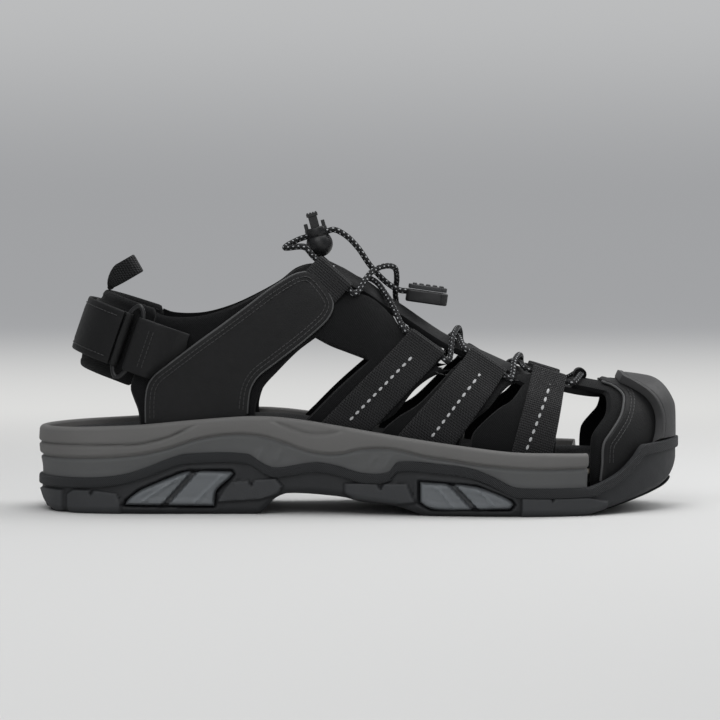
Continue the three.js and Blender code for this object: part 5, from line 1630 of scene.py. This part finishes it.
def build_lock():
    ball = [(6.1 * math.sin(a), -4.6 - 6.1 * math.cos(a)) for a in np.linspace(0.12, math.radians(124), 20)]
    neck = [(5.2, -1.0), (5.2, 2.4), (5.0, 3.0), (4.4, 3.2), (3.9, 3.2)]
    shapes = [(lathe(ball + neck), 0)]
    for end in (-1, 1):
        shapes.append((block(end * 4.05 - 0.85, end * 4.05 + 0.85, -3, 3, 1, 5.8), 0))
    small_part("cord_lock_shell", shapes, LOCK_TURN, LOCK, [PLASTIC], "cord_lock", "black_plastic",
               ["cord_lock_body"])
    shapes = [(block(-2, 2, -3.7, 3.7, 4.7, 8.6), 0), (block(-2, 2, 3.3, 3.7, -3.0, 4.8), 0),
              (block(-2, 2, -3.7, -3.3, -3.0, 4.8), 0), (block(-2.6, 2.6, -4.2, 4.2, 8.4, 10.0), 0)]
    # the ridges on the plunger top take the painted highlight plastic
    for x in (-1.95, -0.65, 0.65, 1.95):
        shapes.append((block(x - 0.4, x + 0.4, -4.1, 4.1, 9.7, 10.45), 1))
    small_part("cord_lock_plunger", shapes, LOCK_TURN, LOCK, [PLASTIC, PLASTIC_PAINTED_TOP], "cord_lock_button",
               "black_plastic", ["cord_lock_button"], width=0.22)


def build_tab():
    half = 9.6
    shell = [(-half, -4.2), (-half + 2, -5.6), (half - 3, -6), (half, -3), (half, 3), (half - 3, 6),
             (-half + 2, 5.6), (-half, 4.2)]
    cap = [(-half + 0.6, -3.8), (-half + 2.2, -5), (half - 3.2, -5.4), (half - 0.8, -2.8), (half - 0.8, 2.8),
           (half - 3.2, 5.4), (-half + 2.2, 5), (-half + 0.6, 3.8)]
    small_part("cord_end_lower", [(prism(shell, -4.4, 1.3), 0)], TAB_TURN, TAB, [PLASTIC], "root",
               "black_plastic", ["cord_end_shell"], width=0.7)
    # the tab's top cap and ridges take the painted highlight plastic
    shapes = [(prism(cap, 1.7, 3.7), 0)]
    for x in (-6.2, -3.1, 0, 3.1, 6.2):
        shapes.append((block(x - 1.0, x + 1.0, -4.6, 4.6, 3.3, 4.4), 0))
    small_part("cord_end_upper", shapes, TAB_TURN, TAB, [PLASTIC_PAINTED_TOP], "root", "black_plastic",
               ["cord_end_cap"], width=0.35)


# ---------------------------------------------------------------- build
def build_all():
    build_midsole()
    build_outsole()
    build_inserts()
    build_footbed()
    build_sides()
    build_toe()
    build_tongue()
    for strap in STRAPS:
        for hand, word in SIDES:
            build_strap(*strap, hand, word)
    build_dots()
    build_laces()
    build_heel()
    build_collar()
    build_pull_loop()
    build_lock()
    build_tab()


build_all()
for _node, _material in (("strobel_board", BOARD), ("loop_tape", LOOP_PILE), ("hook_tape", HOOK_PILE),
                         ("cord_lock_spring", STEEL)):
    dress(_node, _material)


# ---------------------------------------------------------------- stage, light and camera
def build_stage():
    profile = [(-4.0, 0.0), (-1.5, 0.0), (-0.4, 0.0), (0.4, 0.0), (1.2, 0.0), (2.1, 0.0)]
    profile += [(2.1 + 0.5 * math.sin(a), 0.5 - 0.5 * math.cos(a)) for a in np.linspace(0.1, math.pi / 2, 14)]
    profile += [(2.6, 1.2), (2.6, 3.0)]
    verts = [(x, y, z) for y, z in profile for x in (-5.0, 5.0)]
    faces = [(2 * k, 2 * k + 1, 2 * k + 3, 2 * k + 2) for k in range(len(profile) - 1)]
    mesh = bpy.data.meshes.new("backdrop")
    mesh.from_pydata(verts, [], faces)
    for polygon in mesh.polygons:
        polygon.use_smooth = True
    sweep = bpy.data.objects.new("backdrop", mesh)
    bpy.context.scene.collection.objects.link(sweep)
    backdrop_shader = Nodes("backdrop_painted_glow", (0.6, 0.6, 0.6), 0.8, Specular_IOR_Level=0.1)
    # the far floor and the wall glow with painted light: a painted falloff, darker further back and 0.5
    # higher up, instead of lamp light
    up = backdrop_shader.ramp(backdrop_shader.axis("Y"), 0.6, 2.3)
    far = backdrop_shader.ramp(backdrop_shader.axis("Z"), 0.13, 0.4)
    painted_backdrop_glow = backdrop_shader.mix(far, backdrop_shader.mix(up, (0.7, 0.7, 0.69), (0.35, 0.355, 0.365)), (0.5, 0.505, 0.51))
    back = backdrop_shader.ramp(backdrop_shader.axis("Y"), 0.15, 0.75)
    backdrop_shader.link(painted_backdrop_glow, backdrop_shader.shader.inputs["Emission Color"])
    backdrop_shader.link(back, backdrop_shader.shader.inputs["Emission Strength"])
    backdrop_shader.color(backdrop_shader.mix(back, (0.62, 0.62, 0.615), (0.0, 0.0, 0.0)))
    mesh.materials.append(backdrop_shader.material)
    world = bpy.data.worlds.new("studio")
    bpy.context.scene.world = world
    world.use_nodes = True
    world.node_tree.nodes["Background"].inputs["Color"].default_value = (0.9, 0.92, 0.95, 1)
    world.node_tree.nodes["Background"].inputs["Strength"].default_value = 0.26
    for name, place_, size, power, aim in (
            ("key", (-0.35, -0.85, 0.95), 0.7, 5.0, (0, 0, 0.05)),
            ("top", (0.15, 0.1, 1.1), 0.9, 8.0, (0, 0, 0.05)),
            ("rim", (0.75, 0.3, 0.6), 0.5, 3.2, (0, 0, 0.06)),
            ("front", (0.1, -1.3, 0.35), 0.6, 1.6, (0, 0, 0.05))):
        lamp = bpy.data.lights.new(name, "AREA")
        lamp.energy = power
        lamp.size = size
        thing = bpy.data.objects.new(name, lamp)
        thing.location = place_
        thing.rotation_euler = (Vector(aim) - Vector(place_)).to_track_quat("-Z", "Y").to_euler()
        bpy.context.scene.collection.objects.link(thing)
    camera = bpy.data.cameras.new("camera")
    camera.lens = 173
    camera.sensor_width = 36
    thing = bpy.data.objects.new("camera", camera)
    rise = math.radians(2.75)
    aim = Vector((0, 0, 0.068))
    thing.location = aim + Vector((0, -1.6 * math.cos(rise), 1.6 * math.sin(rise)))
    thing.rotation_euler = (aim - thing.location).to_track_quat("-Z", "Y").to_euler()
    bpy.context.scene.collection.objects.link(thing)
    bpy.context.scene.camera = thing


build_stage()
bpy.context.scene.view_settings.view_transform = "Standard"
